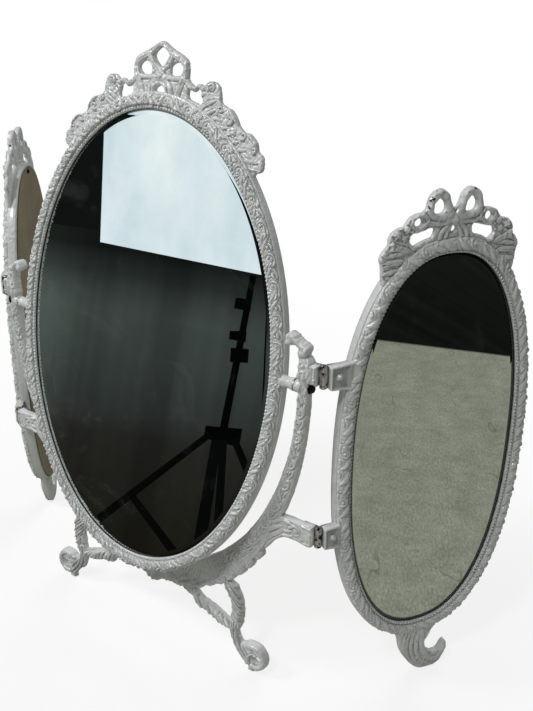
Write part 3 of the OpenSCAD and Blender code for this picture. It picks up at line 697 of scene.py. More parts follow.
# Every place is an angle and a distance outside the rim, for the right half; the left is its mirror. A stroke is
# its kind, half width, height, extras and path; a dome its place, radius, height and petals; a curl its place,
# radius, first angle and way; a round hole and a worn spot are a place and a radius.
centreCrest = {
    "outline": [
        (90, 35.8), (87.5, 32), (84.8, 29.4), (82, 26.6), (80.8, 20.3), (80, 13.8), (77.5, 11.1), (76, 14.6),
        (74.6, 15.5), (73.8, 19.5), (72.2, 21.9), (70.2, 21.1), (68.8, 17.1), (67.5, 13.1), (65.5, 13.6),
        (63.2, 14.6), (59.8, 11.6), (58, 11.4), (56, 14.1), (53.5, 15), (51.5, 12.8), (49.5, 13.6), (47.2, 8.4),
        (47.6, 2.5), (48.6, -1.6), (62, -1.6), (76, -1.6), (90, -1.6)],
    "middleHoles": [
        [(90, 31.6), (87.7, 25.4), (90, 18.2), (92.3, 25.4)], [(90, 4.6), (88.0, 1.4), (90, 0.4), (92.0, 1.4)]],
    "sideHoles": [
        [(86.5, 18.6), (84.5, 22.3), (82.5, 19.6), (83.3, 14.2), (86.1, 13.3)],
        [(78.9, 7.6), (77, 7), (75.5, 11.4), (73.4, 4), (74.4, 2), (78.2, 1.8)]],
    "seed": 21, "rear": 5.2, "edge": 2.4, "full": 3.3,
    "worn": [(98.4, 27.4, 3.0), (96.2, 28.8, 2.6), (99.8, 23.6, 2.6), (72, 21, 1.6)],
    "strokes": [
        ("band", 2.6, 1.5, {"reeds": 2}, [(92.4, 9.5), (90.4, 13.6), (88.2, 18.4), (87.0, 22.4), (86.5, 26.4),
            (87.3, 29.8), (88.8, 32.6), (90, 33.8)]),
        ("band", 2.8, 1.5, {"reeds": 3}, [(86.8, 28.4), (85.4, 27.2), (83.4, 25.2), (81.8, 22.4), (81.4, 19),
            (81.5, 14), (82.1, 8), (82.6, 2), (82.6, -2)]),
        ("band", 2.0, 1.3, {"reeds": 2}, [(89.6, 11.4), (86.6, 11.0), (84.0, 11.4), (82.4, 12.4)]),
        ("band", 2.3, 1.4, {"reeds": 3}, [(89.6, 9.8), (87.4, 7.2), (85.8, 3.6), (85.3, -2)]),
        ("band", 1.3, 1.5, {}, [(90, 6.5), (88.2, 5.4), (87.3, 2.4), (87.2, -2)]),
        ("band", 2.0, 1.4, {"ribs": 3.0}, [(80.8, 12.5), (78.6, 9.6), (76.6, 11.9), (74.4, 13.0)]),
        ("leaf", 1.8, 1.3, {"vein": 0.3}, [(75.2, -1), (74.8, 5), (73.4, 10.8), (72.4, 13.6)]),
        ("leaf", 1.8, 1.4, {"vein": 0.3}, [(72.4, -1), (71.6, 4), (70.2, 8.5), (68.6, 13.6)]),
        ("leaf", 1.5, 1.3, {}, [(70.0, -1), (68.6, 4), (67.6, 7.6)]),
        ("leaf", 1.6, 1.4, {"vein": 0.3}, [(68.2, -1), (66.0, 2.6), (64.0, 4.0)]),
        ("leaf", 1.5, 1.4, {}, [(65.4, 14.0), (63.6, 13.2), (60.8, 11.6), (59.4, 9.0)]),
        ("leaf", 1.5, 1.3, {}, [(65.0, -1), (62.6, 1.6), (61.6, 4.4)]),
        ("leaf", 1.7, 1.4, {"vein": 0.3}, [(61.4, -1), (60.0, 3), (59.2, 7.4)]),
        ("leaf", 1.5, 1.3, {}, [(58.4, -1), (57.2, 2.4), (56.8, 5.6)]),
        ("leaf", 1.5, 1.4, {}, [(57.8, 12.6), (55.6, 14.0), (53.2, 13.8), (51.6, 11.6)]),
        ("leaf", 1.6, 1.3, {"vein": 0.3}, [(56, -1), (54.4, 3), (53.8, 6.8)]),
        ("leaf", 1.6, 1.3, {"vein": 0.3}, [(53, -1), (51, 3.2), (49.6, 7.6), (49.0, 11.6)]),
        ("leaf", 1.3, 1.2, {}, [(50.4, -1), (48.8, 2.4), (47.8, 6.4)])],
    "curls": [
        (71.9, 17.0, 4.3, 200, -1), (62.6, 8.8, 3.7, 250, 1), (66.6, 9.6, 2.7, 300, -1), (57.0, 9.4, 3.4, 250, 1),
        (52.4, 10.2, 2.8, 270, 1), (59.4, 3.6, 2.2, 60, -1)],
    "domes": [
        (90, 11.2, 2.7, 2.0, 0), (78.5, 9.8, 2.7, 1.6, 0), (76.2, 12.8, 2.6, 1.5, 0), (71.9, 17.0, 1.5, 1.9, 0)],
}
wingCrest = {
    "outline": [
        (90, 20.2), (89, 23.7), (88.5, 28.8), (87.2, 32.5), (85.8, 34.3), (83.5, 32.9), (81.8, 28.8), (80.8, 23.9),
        (79.2, 22), (77, 23.1), (74.8, 22.8), (73, 20.8), (71.5, 20), (70, 21.4), (68.2, 21.8), (66, 20.4),
        (64.2, 16.8), (61.8, 16.4), (59.3, 14.6), (57.5, 9.5), (55, 5), (53, -1.6), (64, -1.6), (77, -1.6),
        (90, -1.6)],
    "middleHoles": [],
    "sideHoles": [[(82.2, 8.3), (81.2, 2.9), (77, 2.8), (72.4, 2.8), (71.9, 8), (73.5, 10.7), (77.2, 9)]],
    "rounds": [(85, 22, 5.1), (95, 22, 5.1), (77.1, 16.6, 2.6), (102.9, 16.6, 2.6), (90, 5.6, 1.9)], "seed": 33,
    "rear": 1.2, "edge": 2.4, "full": 3.3,
    "worn": [(94.6, 32.4, 3.2), (97.4, 29, 2.6), (85.0, 33.4, 2.0), (99, 24, 2)],
    "strokes": [
        ("band", 3.0, 1.7, {}, [(89.6, 13), (88.4, 18), (87.6, 23.5), (86.9, 28.4), (85.6, 30.6), (83.6, 29.4),
            (82.6, 25), (81.8, 20.5), (83.2, 16.2), (86.6, 14.2), (89.4, 13)]),
        ("band", 2.0, 1.4, {"reeds": 3}, [(89.4, 9), (88.0, 5), (87.0, 0)]),
        ("band", 1.9, 1.4, {"reeds": 3}, [(88.6, 9), (85.8, 5), (84.4, 0)]),
        ("band", 1.9, 1.4, {"reeds": 2}, [(88.6, 10.6), (85.6, 10.4), (82.6, 11.6), (80, 13.4), (77.6, 12.0),
            (75.4, 11.6)]),
        ("band", 1.7, 1.4, {"ribs": 4.0}, [(80.6, 14.4), (80.0, 18.4), (78.4, 20.8), (75.9, 20.8), (74.4, 17.6),
            (75.4, 13.8)]),
        ("leaf", 2.4, 1.5, {"vein": 0.4}, [(70.6, 1), (68.2, 5.6), (66.4, 10), (62.6, 14.6)]),
        ("leaf", 2.0, 1.2, {}, [(67.6, 3), (64.8, 7.4), (61.6, 11.2), (60.6, 14.6)]),
        ("leaf", 2.3, 1.6, {"vein": 0.4}, [(66, -1), (63.2, 2.6), (60.8, 6.2), (57.8, 8.8)]),
        ("leaf", 1.5, 1.3, {}, [(62.4, 4.6), (60.4, 8.2), (58.6, 11.4)]),
        ("leaf", 2.0, 1.3, {}, [(61.4, -1.5), (58.8, 1.4), (57.0, 4.6), (55.2, 5.4)]),
        ("tail", 1.4, 1.4, {}, [(64.4, 13.0), (66.2, 13.4), (67.0, 11.4), (65.6, 9.8)]),
        ("leaf", 1.9, 1.4, {"vein": 0.4}, [(73.4, 0), (71.4, 3.6), (71.0, 8.4)])],
    "domes": [
        (90, 11.8, 3.7, 2.3, 0), (72.4, 16.6, 3.0, 1.7, 5), (68.6, 18.0, 3.2, 1.8, 5), (70.2, 12.4, 2.5, 1.5, 5),
        (65.6, 15.0, 2.4, 1.6, 5), (73.6, 13.2, 1.3, 1.4, 0), (66.8, 11.6, 1.3, 1.5, 0), (71, 20, 1.3, 1.4, 0),
        (72.2, 9.6, 1.4, 1.3, 0)],
}


# The same (angle, distance) pairs on the left half
def otherHalf(pairs):
    return [(180 - t, d) for t, d in pairs]


# A crest: a plate to the outline with rounded edges, and strokes, domes and carved folds on it.
def crestShell(kind, step=0.4):
    crest = centreCrest if kind == "centre" else wingCrest
    right = crest["outline"]
    loop = right + otherHalf(right[1:-1])[::-1]
    solids = [onRim(kind, rounded(loop, 4, True))]
    sides = [half for hole in crest["sideHoles"] for half in (hole, otherHalf(hole))]
    holes = [onRim(kind, rounded(hole, 4, True)) for hole in crest["middleHoles"] + sides]
    holes += [circleLine(rimPoint(kind, t, d), r) for t, d, r in crest.get("rounds", ())]
    x, z = gridOver(solids[0].min(0) - 2, solids[0].max(0) + 2, step)
    field = outlineField(x, z, solids, holes)
    strokes = placed(crest["strokes"], lambda pairs: onRim(kind, pairs), lambda pairs: onRim(kind, otherHalf(pairs)))
    domes = [(rimPoint(kind, angle, d), *dome, math.radians(angle)) for t, d, *dome in crest["domes"]
             for angle in (t, 180 - t)]
    for t, d, r, start, way in crest.get("curls", ()):
        for at, first, turn in ((t, start, way), (180 - t, 180 - start, -way)):
            strokes.append(("tail", 0.4 * r, 1.6, {}, curl(rimPoint(kind, at, d), 0.72 * r, first, turn)))
    detail = 1.35 * carve(x, z, strokes, domes, ground=0.5, wave=3.4, seed=crest["seed"])
    field += 0.35 * (detail - 1.7)
    worn = np.zeros(x.shape)
    for t, d, r in crest["worn"]:
        at = rimPoint(kind, t, d)
        worn = np.maximum(worn, np.clip(1.3 - np.hypot(x - at[0], z - at[1]) / r, 0, 1))
    falls = (crest["full"] - crest["edge"], 0.8)
    return castShell(x, z, field, detail, front=crest["rear"] - crest["full"], rear=crest["rear"], edge=1.6,
                     falls=falls, shadeAndDust=1.25, worn=worn)


# The hook under a wing and the lug plates at its hinges, in wing coordinates.
wingFoot = {
    "outline": [
        (-19.5, 48), (-18.6, 36), (-16, 25), (-11, 15.4), (-5, 7.6), (2, 2), (9.5, 0.4), (18, 0.6), (24, 5),
        (28.6, 14.5), (27.8, 21.4), (24.8, 19.4), (21.5, 14.5), (16, 13.6), (11, 17), (7.3, 22.5), (6.5, 29),
        (10, 36), (14.5, 42), (16, 49)],
    "strokes": [
        ("band", 2.8, 1.4, {}, [(2, 40), (3.2, 28), (6, 18), (11.5, 9.5), (17.5, 7.4), (22.6, 10.4), (25.6, 16.4)]),
        ("leaf", 2.0, 1.5, {"vein": 0.3}, [(0, 44), (-2.5, 33), (-2, 22), (2.5, 11), (8, 4.4)]),
        ("leaf", 1.9, 1.4, {"vein": 0.3}, [(-4, 44), (-7.4, 34), (-7.4, 24), (-3.4, 13), (2.4, 5.6)]),
        ("leaf", 1.8, 1.3, {"vein": 0.3}, [(-8, 45), (-11.8, 35.4), (-12, 25), (-8.4, 15.6), (-4.6, 10)]),
        ("leaf", 1.7, 1.3, {"vein": 0.3}, [(-12, 45), (-15.2, 36), (-14.8, 27), (-12.2, 20.4)]),
        ("leaf", 1.5, 1.2, {"vein": 0.3}, [(1, 20), (-1.4, 14), (-2, 8.4)]),
        ("leaf", 1.5, 1.2, {"vein": 0.3}, [(7, 12), (5, 7), (4.6, 2.6)]),
        ("leaf", 1.6, 1.2, {"vein": 0.3}, [(10, 40), (8, 34), (5, 29)])],
}
lug = {"near": 3.2, "height": 17.4, "drop": 0.8, "front": -5.0, "rear": 1.75, "rim": 1.3, "corner": 1.2}


def footShell(step=0.4):
    outline = rounded(wingFoot["outline"], 4, True)
    x, z = gridOver(outline.min(0) - 2, outline.max(0) + 2, step)
    sight = ovalAt("wing", np.linspace(0, 2 * np.pi, 180, endpoint=False), 7.5) + [0, stance["wingHeight"]]
    field = outlineField(x, z, [outline], [sight])
    detail = carve(x, z, placed(wingFoot["strokes"]), [], ground=0.35, wave=3.4, seed=51)
    points, *rest = castShell(x, z, field, detail, front=-5.2, rear=1.4, edge=1.8, falls=(1.6, 0.8), rise=1.3)
    return (points - [0, 0, stance["wingHeight"]], *rest)


# Distance from the hinge axis to a wing rim's edge at height z
def edgeReach(z):
    size = mirrorSizes["wing"]
    (a, b), e = np.add(size["sight"], size["rim"]), size["power"]
    return stance["wingX"] - a * (1 - (abs(z - stance["wingHeight"]) / b) ** e) ** (1 / e)


# A lug: a plate with a raised rim on three sides that runs into the ring.
def lugShell(z0, step=0.4):
    far = edgeReach(z0) + 4.0
    low, high = (z0 - lug["drop"] + way * lug["height"] / 2 for way in (-1, 1))
    near, cut = lug["near"], lug["corner"]
    outline = np.array([
        (near, low + cut), (near + cut * 0.3, low + cut * 0.3), (near + cut, low), (far, low - 1.5),
        (far, high + 1.5), (near + cut, high), (near + cut * 0.3, high - cut * 0.3), (near, high - cut)])
    x, z = gridOver((0, low - 4), (far + 2, high + 4), step)
    field = outlineField(x, z, [outline])
    inward = np.clip(field, 0, None)
    rim = np.clip((inward - lug["rim"]) / 0.9, 0, 1)
    dish = 1.3 * rim * (1 - np.clip((x - edgeReach(z0) + 1.5) / 2.0, 0, 1)) - 0.15 * folds(x, z, 3.0, 61)
    shoulder = edgeRound(inward, 0.9)
    front = lug["front"] + 1.3 - 1.3 * shoulder + dish
    # the dished plate inside the rim is darkened with painted shade and dust
    points, *rest = plateShell(x, z, field, front, lug["rear"] - 0.3 + 0.3 * shoulder, 0.55 * rim)
    return (points - [stance["wingX"], 0, stance["wingHeight"]], *rest)


for name, kind, body, place, silver in mirrors:
    makePiece(name + "_crest", [crestShell(kind)], place, body)
    if kind == "wing":
        shells = [footShell(), lugShell(stance["upperHinge"]), lugShell(stance["lowerHinge"])]
        makePiece(name + "_hook_and_lugs", shells, place, body)


# Stand: yoke with arms, legs, struts, finials, hinge pads.

standForm = {
    "leg": [
        (-35, 88), (-33, 78), (-28, 75), (-23.5, 67.5), (-20.2, 58), (-20.6, 42), (-20.4, 28.3), (-14.6, 16.0),
        (-7.5, 9.5), (-3.4, 4.5), (0, 2), (4.6, 2.8), (9.6, 4.2), (14.4, 9), (16.6, 17.2), (13.5, 24.4), (7.3, 29.5),
        (-2, 28.4), (-8.6, 24.2), (-12.6, 28.8), (-13.6, 34.5), (-10.4, 41.0), (-8.3, 53.4), (-9, 62), (-11, 70),
        (-15.5, 77.5), (-21, 81), (-24, 86), (-26, 92)],
    "strut": [
        (-74, 52), (-62.7, 45.8), (-57.3, 39.6), (-46.2, 38), (-35.4, 33.2), (-28, 32.6), (-19, 35), (-17.5, 39),
        (-25, 42), (-31, 45), (-40, 47.6), (-52, 50.4), (-62.3, 58.5), (-70, 64)],
    "head": [
        (0, 5.6), (-0.4, 15.6), (0, 25.2), (-2.3, 29.2), (-7.3, 29), (-10.4, 31.8), (-10.6, 36.2), (-7.3, 38.9),
        (-2.8, 37.6), (1.9, 33.6), (6.6, 32.5), (8.6, 29.4), (7.2, 24.6), (11.2, 19.4), (11.4, 12), (9.4, 5.6)],
    "bracket": [
        (-46, -26), (-40, -19.6), (-34.5, -13.4), (-28.5, -9), (-22.6, -7.8), (-15, -8), (-3.2, -8), (-3.2, 8),
        (-12, 8.2), (-26, 8.4), (-34, 6.4), (-44, -4)],
    "yoke": {"inner": (148.8, 199.0, 1.9), "outer": (158.5, 222.4, 2.0)},
    "block": [(-15.4, -8), (-3.9, -8), (-3.2, -7.3), (-3.2, 7.3), (-3.9, 8), (-12.4, 8), (-15.4, 9.4)], "foot": 108.0,
}


# Strokes of the stand's right half, in the front view: first the yoke's, then the leg's and the strut's.
yokeStrokes = [
    # leaves along the belly's lower edge
    ("leaf", 2.7, 2.2, {"vein": 0.4, "ribs": 4.5}, [(31, 57), (39, 58.6), (47, 63.4), (55, 70)]),
    ("leaf", 2.6, 2.1, {"vein": 0.4, "ribs": 4.5}, [(42, 56.6), (51, 60), (59, 66.6), (66, 75)]),
    ("leaf", 2.3, 1.3, {"vein": 0.3}, [(34, 63), (41, 66.4), (47, 72.6)]),
    ("leaf", 2.2, 1.3, {"vein": 0.3}, [(56, 64), (64, 69.4), (72, 78)]),
    ("leaf", 2.4, 2.0, {"vein": 0.4, "ribs": 4.0}, [(66, 70), (76, 78), (84, 88)]),
    ("leaf", 2.4, 2.0, {"vein": 0.4, "ribs": 4.0}, [(74, 73), (84, 80.6), (92, 91)]),
    ("leaf", 2.6, 2.1, {"vein": 0.4, "ribs": 4.0}, [(86, 84), (96, 90), (104, 101), (108, 110)]),
    ("leaf", 2.6, 2.1, {"vein": 0.4, "ribs": 4.0}, [(94, 90), (104, 97.4), (111, 108), (114, 117)]),
    ("leaf", 2.4, 1.5, {"vein": 0.4, "ribs": 4.0}, [(104, 99), (112.6, 107), (118.4, 117), (119.6, 126)]),
    # scroll ends of the bracket on the belly's flank
    ("band", 1.7, 1.4, {}, [(112, 117), (119, 128), (126, 138), (134, 146)]),
    ("band", 1.7, 1.4, {}, [(116, 114.6), (123, 124.6), (130, 134), (137, 141)]),
    # finial
    ("band", 3.4, 2.0, {"ribs": 5.0}, [(141.2, 305.4), (142.8, 308.2), (147, 308), (151.4, 304.4), (154.8, 301.6)]),
    ("band", 2.6, 2.2, {}, [(156.6, 302), (156.4, 299.4), (153.0, 298.0)]),
    ("leaf", 1.9, 1.6, {}, [(150, 300.6), (149.6, 296.4), (152.6, 294.4)]),
    ("tail", 2.0, 1.8, {}, [(157.6, 298), (158.4, 292), (156.6, 286.4), (152.4, 284.6), (149.8, 287.4),
        (150.6, 290.6), (153.6, 291.2)]),
    ("leaf", 1.8, 2.0, {}, [(158.4, 289), (158.8, 284), (156.8, 279)]),
    ("leaf", 1.7, 1.5, {}, [(150, 284), (149.8, 279), (152.4, 275.6)]),
    ("leaf", 1.8, 2.1, {}, [(154.4, 283.6), (154.2, 278.6), (156.6, 273.4)]),
    ("leaf", 1.7, 1.4, {}, [(150.4, 277.6), (152.4, 272.4), (156.6, 268)]),
    # bottom shell: petals from one point
    ("leaf", 1.5, 1.4, {}, [(0, 62), (0, 56), (0, 50.6)]),
    ("leaf", 1.5, 1.4, {}, [(1.4, 62), (3.6, 56.4), (5.4, 51.6)]),
    ("leaf", 1.5, 1.4, {}, [(2.6, 62.6), (7, 58.6), (10.4, 54.6)]),
    ("leaf", 1.5, 1.3, {}, [(3.4, 63.6), (9, 61.6), (14.4, 58.6)]),
    ("band", 1.5, 1.4, {}, [(3, 66), (9.6, 66.4), (16, 64), (20.4, 59.6)]),
]
yokeDomes = [
    (26, 57.8, 5.6, 1.7, 6), (153.4, 289.0, 1.5, 1.9, 0), (141.6, 304.6, 2.9, 2.5, 0), (156.4, 300.6, 2.9, 2.6, 0),
    (0, 64.4, 2.6, 1.6, 0), (119.4, 119.6, 3.4, 1.5, 0), (34.6, 61.6, 1.7, 1.3, 0), (18.6, 61.6, 1.8, 1.3, 0),
]
# feathers run down across the leaf bundle from its left edge to its right one, and the same way over the strut
legStrokes = [
    ("leaf", 1.5 - 0.4 * (i % 2), 2.2 - 0.7 * (i % 2), {}, [
        (84.0 + 0.85 * i, 85 - 4.0 * i), (89.4 + 0.5 * i, 82.0 - 4.2 * i), (95.2 + 0.35 * i, 76.0 - 4.1 * i),
        (101.4, 66.0 - 3.3 * i)]) for i in range(10)]
legStrokes += [
    ("leaf", 1.3 + 0.9 * math.sin(2.3 * i) ** 2, 1.5 + 0.8 * math.sin(1.7 * i) ** 2, {}, [
        (41.6 + 4.9 * i, 61.0 - 2.5 * i), (47.0 + 4.9 * i + math.sin(5 * i), 53.8 - 2.3 * i),
        (49.8 + 4.9 * i, 46.6 - 1.9 * i), (50.4 + 4.9 * i + 2 * math.sin(3 * i), 39.4 - 1.4 * i)]) for i in range(9)]
legStrokes += [
    ("tail", 0.9, 1.5, {}, [(81.6, 86), (83.4, 75), (86.6, 64), (89.6, 52), (90.6, 40)]),
    # fluted shank and the scroll round the eye
    ("band", 1.0, 1.5, {}, [(88.6, 43), (88.4, 29), (91.6, 18.4), (97.0, 10.4), (103.0, 4.6)]),
    ("band", 1.0, 1.7, {}, [(91.0, 43), (90.8, 29.6), (94.0, 20), (99.4, 12.2), (104.8, 7.0)]),
    ("band", 1.0, 1.7, {}, [(93.4, 43), (93.0, 30.4), (96.4, 21.8), (101.6, 14.8), (106.0, 10.2)]),
    ("band", 1.0, 1.5, {}, [(95.8, 42), (95.2, 31.6), (98.8, 24.2), (103.4, 18.4), (106.6, 14.2)]),
    ("band", 2.6, 2.0, {"reeds": 2}, [(101, 26.0), (107.6, 26.8), (115, 26.6), (120.6, 22.4), (122.0, 16.6),
                                      (120.2, 10.4), (115.4, 7.0), (110.4, 7.0)]),
    ("tail", 1.6, 1.8, {}, [(106.4, 9.4), (106.8, 15.4), (110.0, 19.2), (113.6, 19.4)]),
    ("tail", 1.0, 1.4, {}, [(103.4, 24), (108, 23.4), (113.6, 22.8)]),
    ("leaf", 1.1, 1.4, {}, [(90, 54), (88.4, 47), (85.6, 41)]),
]
armBand = {"from": 2.0, "to": -66.0, "middle": (153.2, 205.0)}
pads = {"front": -3.1, "rear": 3.25}


def yokeShell(step=0.5):
    zc = stance["pivotHeight"]
    inner, outer = standForm["yoke"]["inner"], standForm["yoke"]["outer"]
    t = np.radians(np.linspace(5.2, -185.2, 300))
    solids = [np.concatenate([ovalLine(*outer, t), ovalLine(*inner, t[::-1])]) + [0, zc]]
    for s in (1, -1):
        solids.append((rounded(standForm["head"], 4, True) + [148.8, zc]) * [s, 1])
        for a in np.arange(-44, -80, -4.3):
            solids.append(circleLine(ovalLine(*outer, math.radians(a)) * 0.976 + [0, zc], 8.0, 24) * [s, 1])
        for a in np.radians((0, 32, 64)):
            solids.append(circleLine((8.6 * math.sin(a), 55 - 6 * math.cos(a)), 4.2, 24) * [s, 1])
    x, z = gridOver((-172, 40), (172, 315), step)
    field = outlineField(x, z, solids)

    # the centre's leaf band follows the arms, read by length along their middle line
    strokes = placed(yokeStrokes, lambda path: path, lambda path: path * [-1, 1])
    domes = [((s * cx, cz), *dome) for cx, cz, *dome in yokeDomes for s in (1, -1)]
    detail = carve(x, z, strokes, domes, ground=0.35, wave=4.4, seed=77)
    a = np.radians(np.linspace(armBand["from"], armBand["to"], 90))
    for s in (1, -1):
        middle = (ovalLine(*armBand["middle"], 2.0, a) + [0, zc]) * [s, 1]
        distance, f, turn, length = alongPath(x, z, middle, 7.0)
        leaf = readTile(tiles["centre"][0], centreBand["length"], f * length + 3.0,
                        np.clip(0.5 + distance * turn * s / 8.4, 0, 0.99))
        fade = np.clip((4.9 - distance) / 1.0, 0, 1) * np.clip(f * 14, 0, 1) * np.clip((1 - f) * 7, 0, 1)
        detail = np.where(fade > 0, np.maximum(detail * (1 - fade), 1.9 * leaf * fade), detail)
    # fine combing on the belly, across its curve
    turns = np.degrees(np.arctan2(z - zc, x))
    wavy = turns / 0.85 + 1.6 * valueNoise(x, z, 14.0, 12)
    comb = 0.75 * (0.5 + 0.5 * np.sin(2 * np.pi * wavy)) + 0.2 * valueNoise(x * 0.4, z, 2.6, 14)
    detail += np.clip((135 - z) / 20, 0, 1) * comb
    worn = np.clip(1.3 - np.hypot(x - 76, z - 82) / 3.0, 0, 1)
    field = overEdge(z, field, detail, share=0.6)
    return castShell(x, z, field, detail, front=-2.9, rear=4.5, edge=2.6, falls=(2.0, 1.4), shadeAndDust=2.0, worn=worn)


# A leg with its scroll, or a strut: s is 1 on the right and -1 on the left.
def legShell(part, s, step=0.42):
    foot = [standForm["foot"], 0]
    solids = [rounded(standForm[part], 4, True) + foot]
    holes = []
    if part == "leg":
        solids.append(np.array([(-3.2, 0), (3.2, 0), (3.2, 6), (-3.2, 6)]) + foot)
        holes = [circleLine((0, 0), 1.0, 24) * [4, 2.4] + [114.7, 13.6]]
    low, high = solids[0].min(0) - 3, solids[0].max(0) + 3
    x, z = gridOver((low[0], -1), high, step)
    field = outlineField(x, z, solids, holes)
    eyeBall = ((113.6, 18.6), 1.6, 1.5)
    detail = carve(x, z, placed(legStrokes), [eyeBall], ground=0.35, wave=3.0, seed=78)
    field = overEdge(z, field, detail, share=0.9)
    front, rear = (-2.95, 4.55) if part == "leg" else (-2.7, 4.3)
    points, *rest = castShell(x, z, field, detail, front, rear, edge=4.2, falls=(4.0, 2.6), shadeAndDust=2.0)
    points = np.maximum(points, [-200, -200, 0])  # nothing under the floor
    return (points * [s, 1, 1], *rest)


padStrokes = {
    "upper": [
        ("band", 1.2, 0.9, {}, [(-8.4, 7), (-8.4, 0), (-8.6, -3.4)]),
        ("band", 1.0, 0.8, {}, [(-11.4, 7), (-11.2, 2), (-11.0, -2)])],
    "lower": [
        ("leaf", 2.0, 1.3, {"vein": 0.3}, [(-45, -24), (-37, -15), (-29, -6.6)]),
        ("leaf", 2.0, 1.3, {"vein": 0.3}, [(-44, -17), (-37, -9.6), (-27, -2.4)]),
        ("leaf", 2.0, 1.3, {"vein": 0.3}, [(-44, -10), (-37, -3.6), (-27.6, 1.8)]),
        ("leaf", 1.8, 1.3, {"vein": 0.3}, [(-42, -2), (-36, 2.8), (-28, 6.0)]),
        ("leaf", 1.7, 1.2, {}, [(-30, -6.8), (-24, -6.2), (-18.4, -3.6)]),
        ("leaf", 1.7, 1.2, {}, [(-29, -2.0), (-24.4, -1.8), (-19.4, 0.2)]),
        ("leaf", 1.7, 1.2, {}, [(-29, 6.2), (-23.4, 6.0), (-18.0, 4.0)]),
        ("tail", 1.5, 1.3, {}, [(-22.6, 1.8), (-18, 4.6), (-13.8, 2.6), (-13.8, -1.6), (-17, -2.6)]),
        ("band", 0.9, 0.8, {}, [(-11, -6.9), (-4.2, -6.9)]), ("band", 0.9, 0.8, {}, [(-11, 6.9), (-4.2, 6.9)]),
        ("band", 1.0, 0.9, {}, [(-4.3, -7), (-4.3, 7)])],
}
padDomes = {
    "upper": [(-5.0, -6.6 + 2.2 * k, 1.3, 1.2, 0) for k in range(7)],
    "lower": [(-16.8, 1.0, 2.0, 1.5, 0), (-12.2, -4.4, 1.3, 1.0, 0)],
}


# Hinge pads: the upper one is a notched block with a beaded ridge at its outer edge, the lower a leafy bracket.
def padShells(step=0.35):
    hx, shells = stance["hingeX"], []
    for s in (1, -1):
        for z0, form in ((stance["upperHinge"], "upper"), (stance["lowerHinge"], "lower")):
            if form == "upper":
                outline = np.array(standForm["block"]) + [hx, z0]
                holes = [circleLine((hx - away, stance["pivotHeight"]), 4.6, 40) for away in (5.6, 8.6)]
            else:
                outline, holes = rounded(standForm["bracket"], 3, True) + [hx, z0], []
            x, z = gridOver(outline.min(0) - 2, outline.max(0) + 2, step)
            field = outlineField(x, z, [outline], holes)
            domes = [((hx + cx, z0 + cz), *dome) for cx, cz, *dome in padDomes[form]]
            strokes = placed(padStrokes[form], lambda path: path + [hx, z0])
            detail = carve(x, z, strokes, domes, ground=0.2, wave=3.6, seed=91)
            points, *rest = castShell(x, z, field, detail, pads["front"], pads["rear"], edge=1.2, falls=(0.7, 0.3))
            shells.append((points * [s, 1, 1], *rest))
    return shells


# A turned part: a profile of (along, radius) spun round the x axis through the point at, closed at both ends.
def turnedShell(profile, at, number=40):
    p = np.array([(profile[0][0], 0.01)] + list(profile) + [(profile[-1][0], 0.01)], float)
    turn = circleLine((0, 0), 1.0, number)
    grid = np.stack([p[None, :, 0] + np.zeros((number, 1)), p[None, :, 1] * turn[:, :1],
                     p[None, :, 1] * turn[:, 1:]], -1)
    return gridShell(grid + at, closeColumns=False)


armBoss = [(146.9, 2.8), (147.0, 4.5), (147.4, 5.0), (149.2, 5.0), (150.4, 5.2), (152.5, 5.2)]
ringBoss = [
    (133.8, 5.0), (136.6, 4.9), (138.6, 4.3), (141, 4.1), (143.2, 4.4), (144.6, 4.9), (145.6, 4.9), (146.0, 4.5),
    (146.0, 2.8),
]
makePiece("stand_yoke", [yokeShell()], placeStand, "stand", ["stand_frame"])
for side, s in (("right", 1), ("left", -1)):
    for part in ("leg", "strut"):
        makePiece("stand_" + part + "_" + side, [legShell(part, s)], placeStand, "stand")
bosses = [turnedShell([(s * a, r) for a, r in armBoss], (0, 0, stance["pivotHeight"])) for s in (1, -1)]
makePiece("stand_hinge_pads", padShells() + bosses, placeStand, "stand")
bosses = [turnedShell([(s * a, r) for a, r in ringBoss], (0, 0, stance["ringDrop"])) for s in (1, -1)]
makePiece("centre_pivot_bosses", bosses, placeCentre, "centre_mirror")


# Floor, what the mirrors see, lamps and camera.

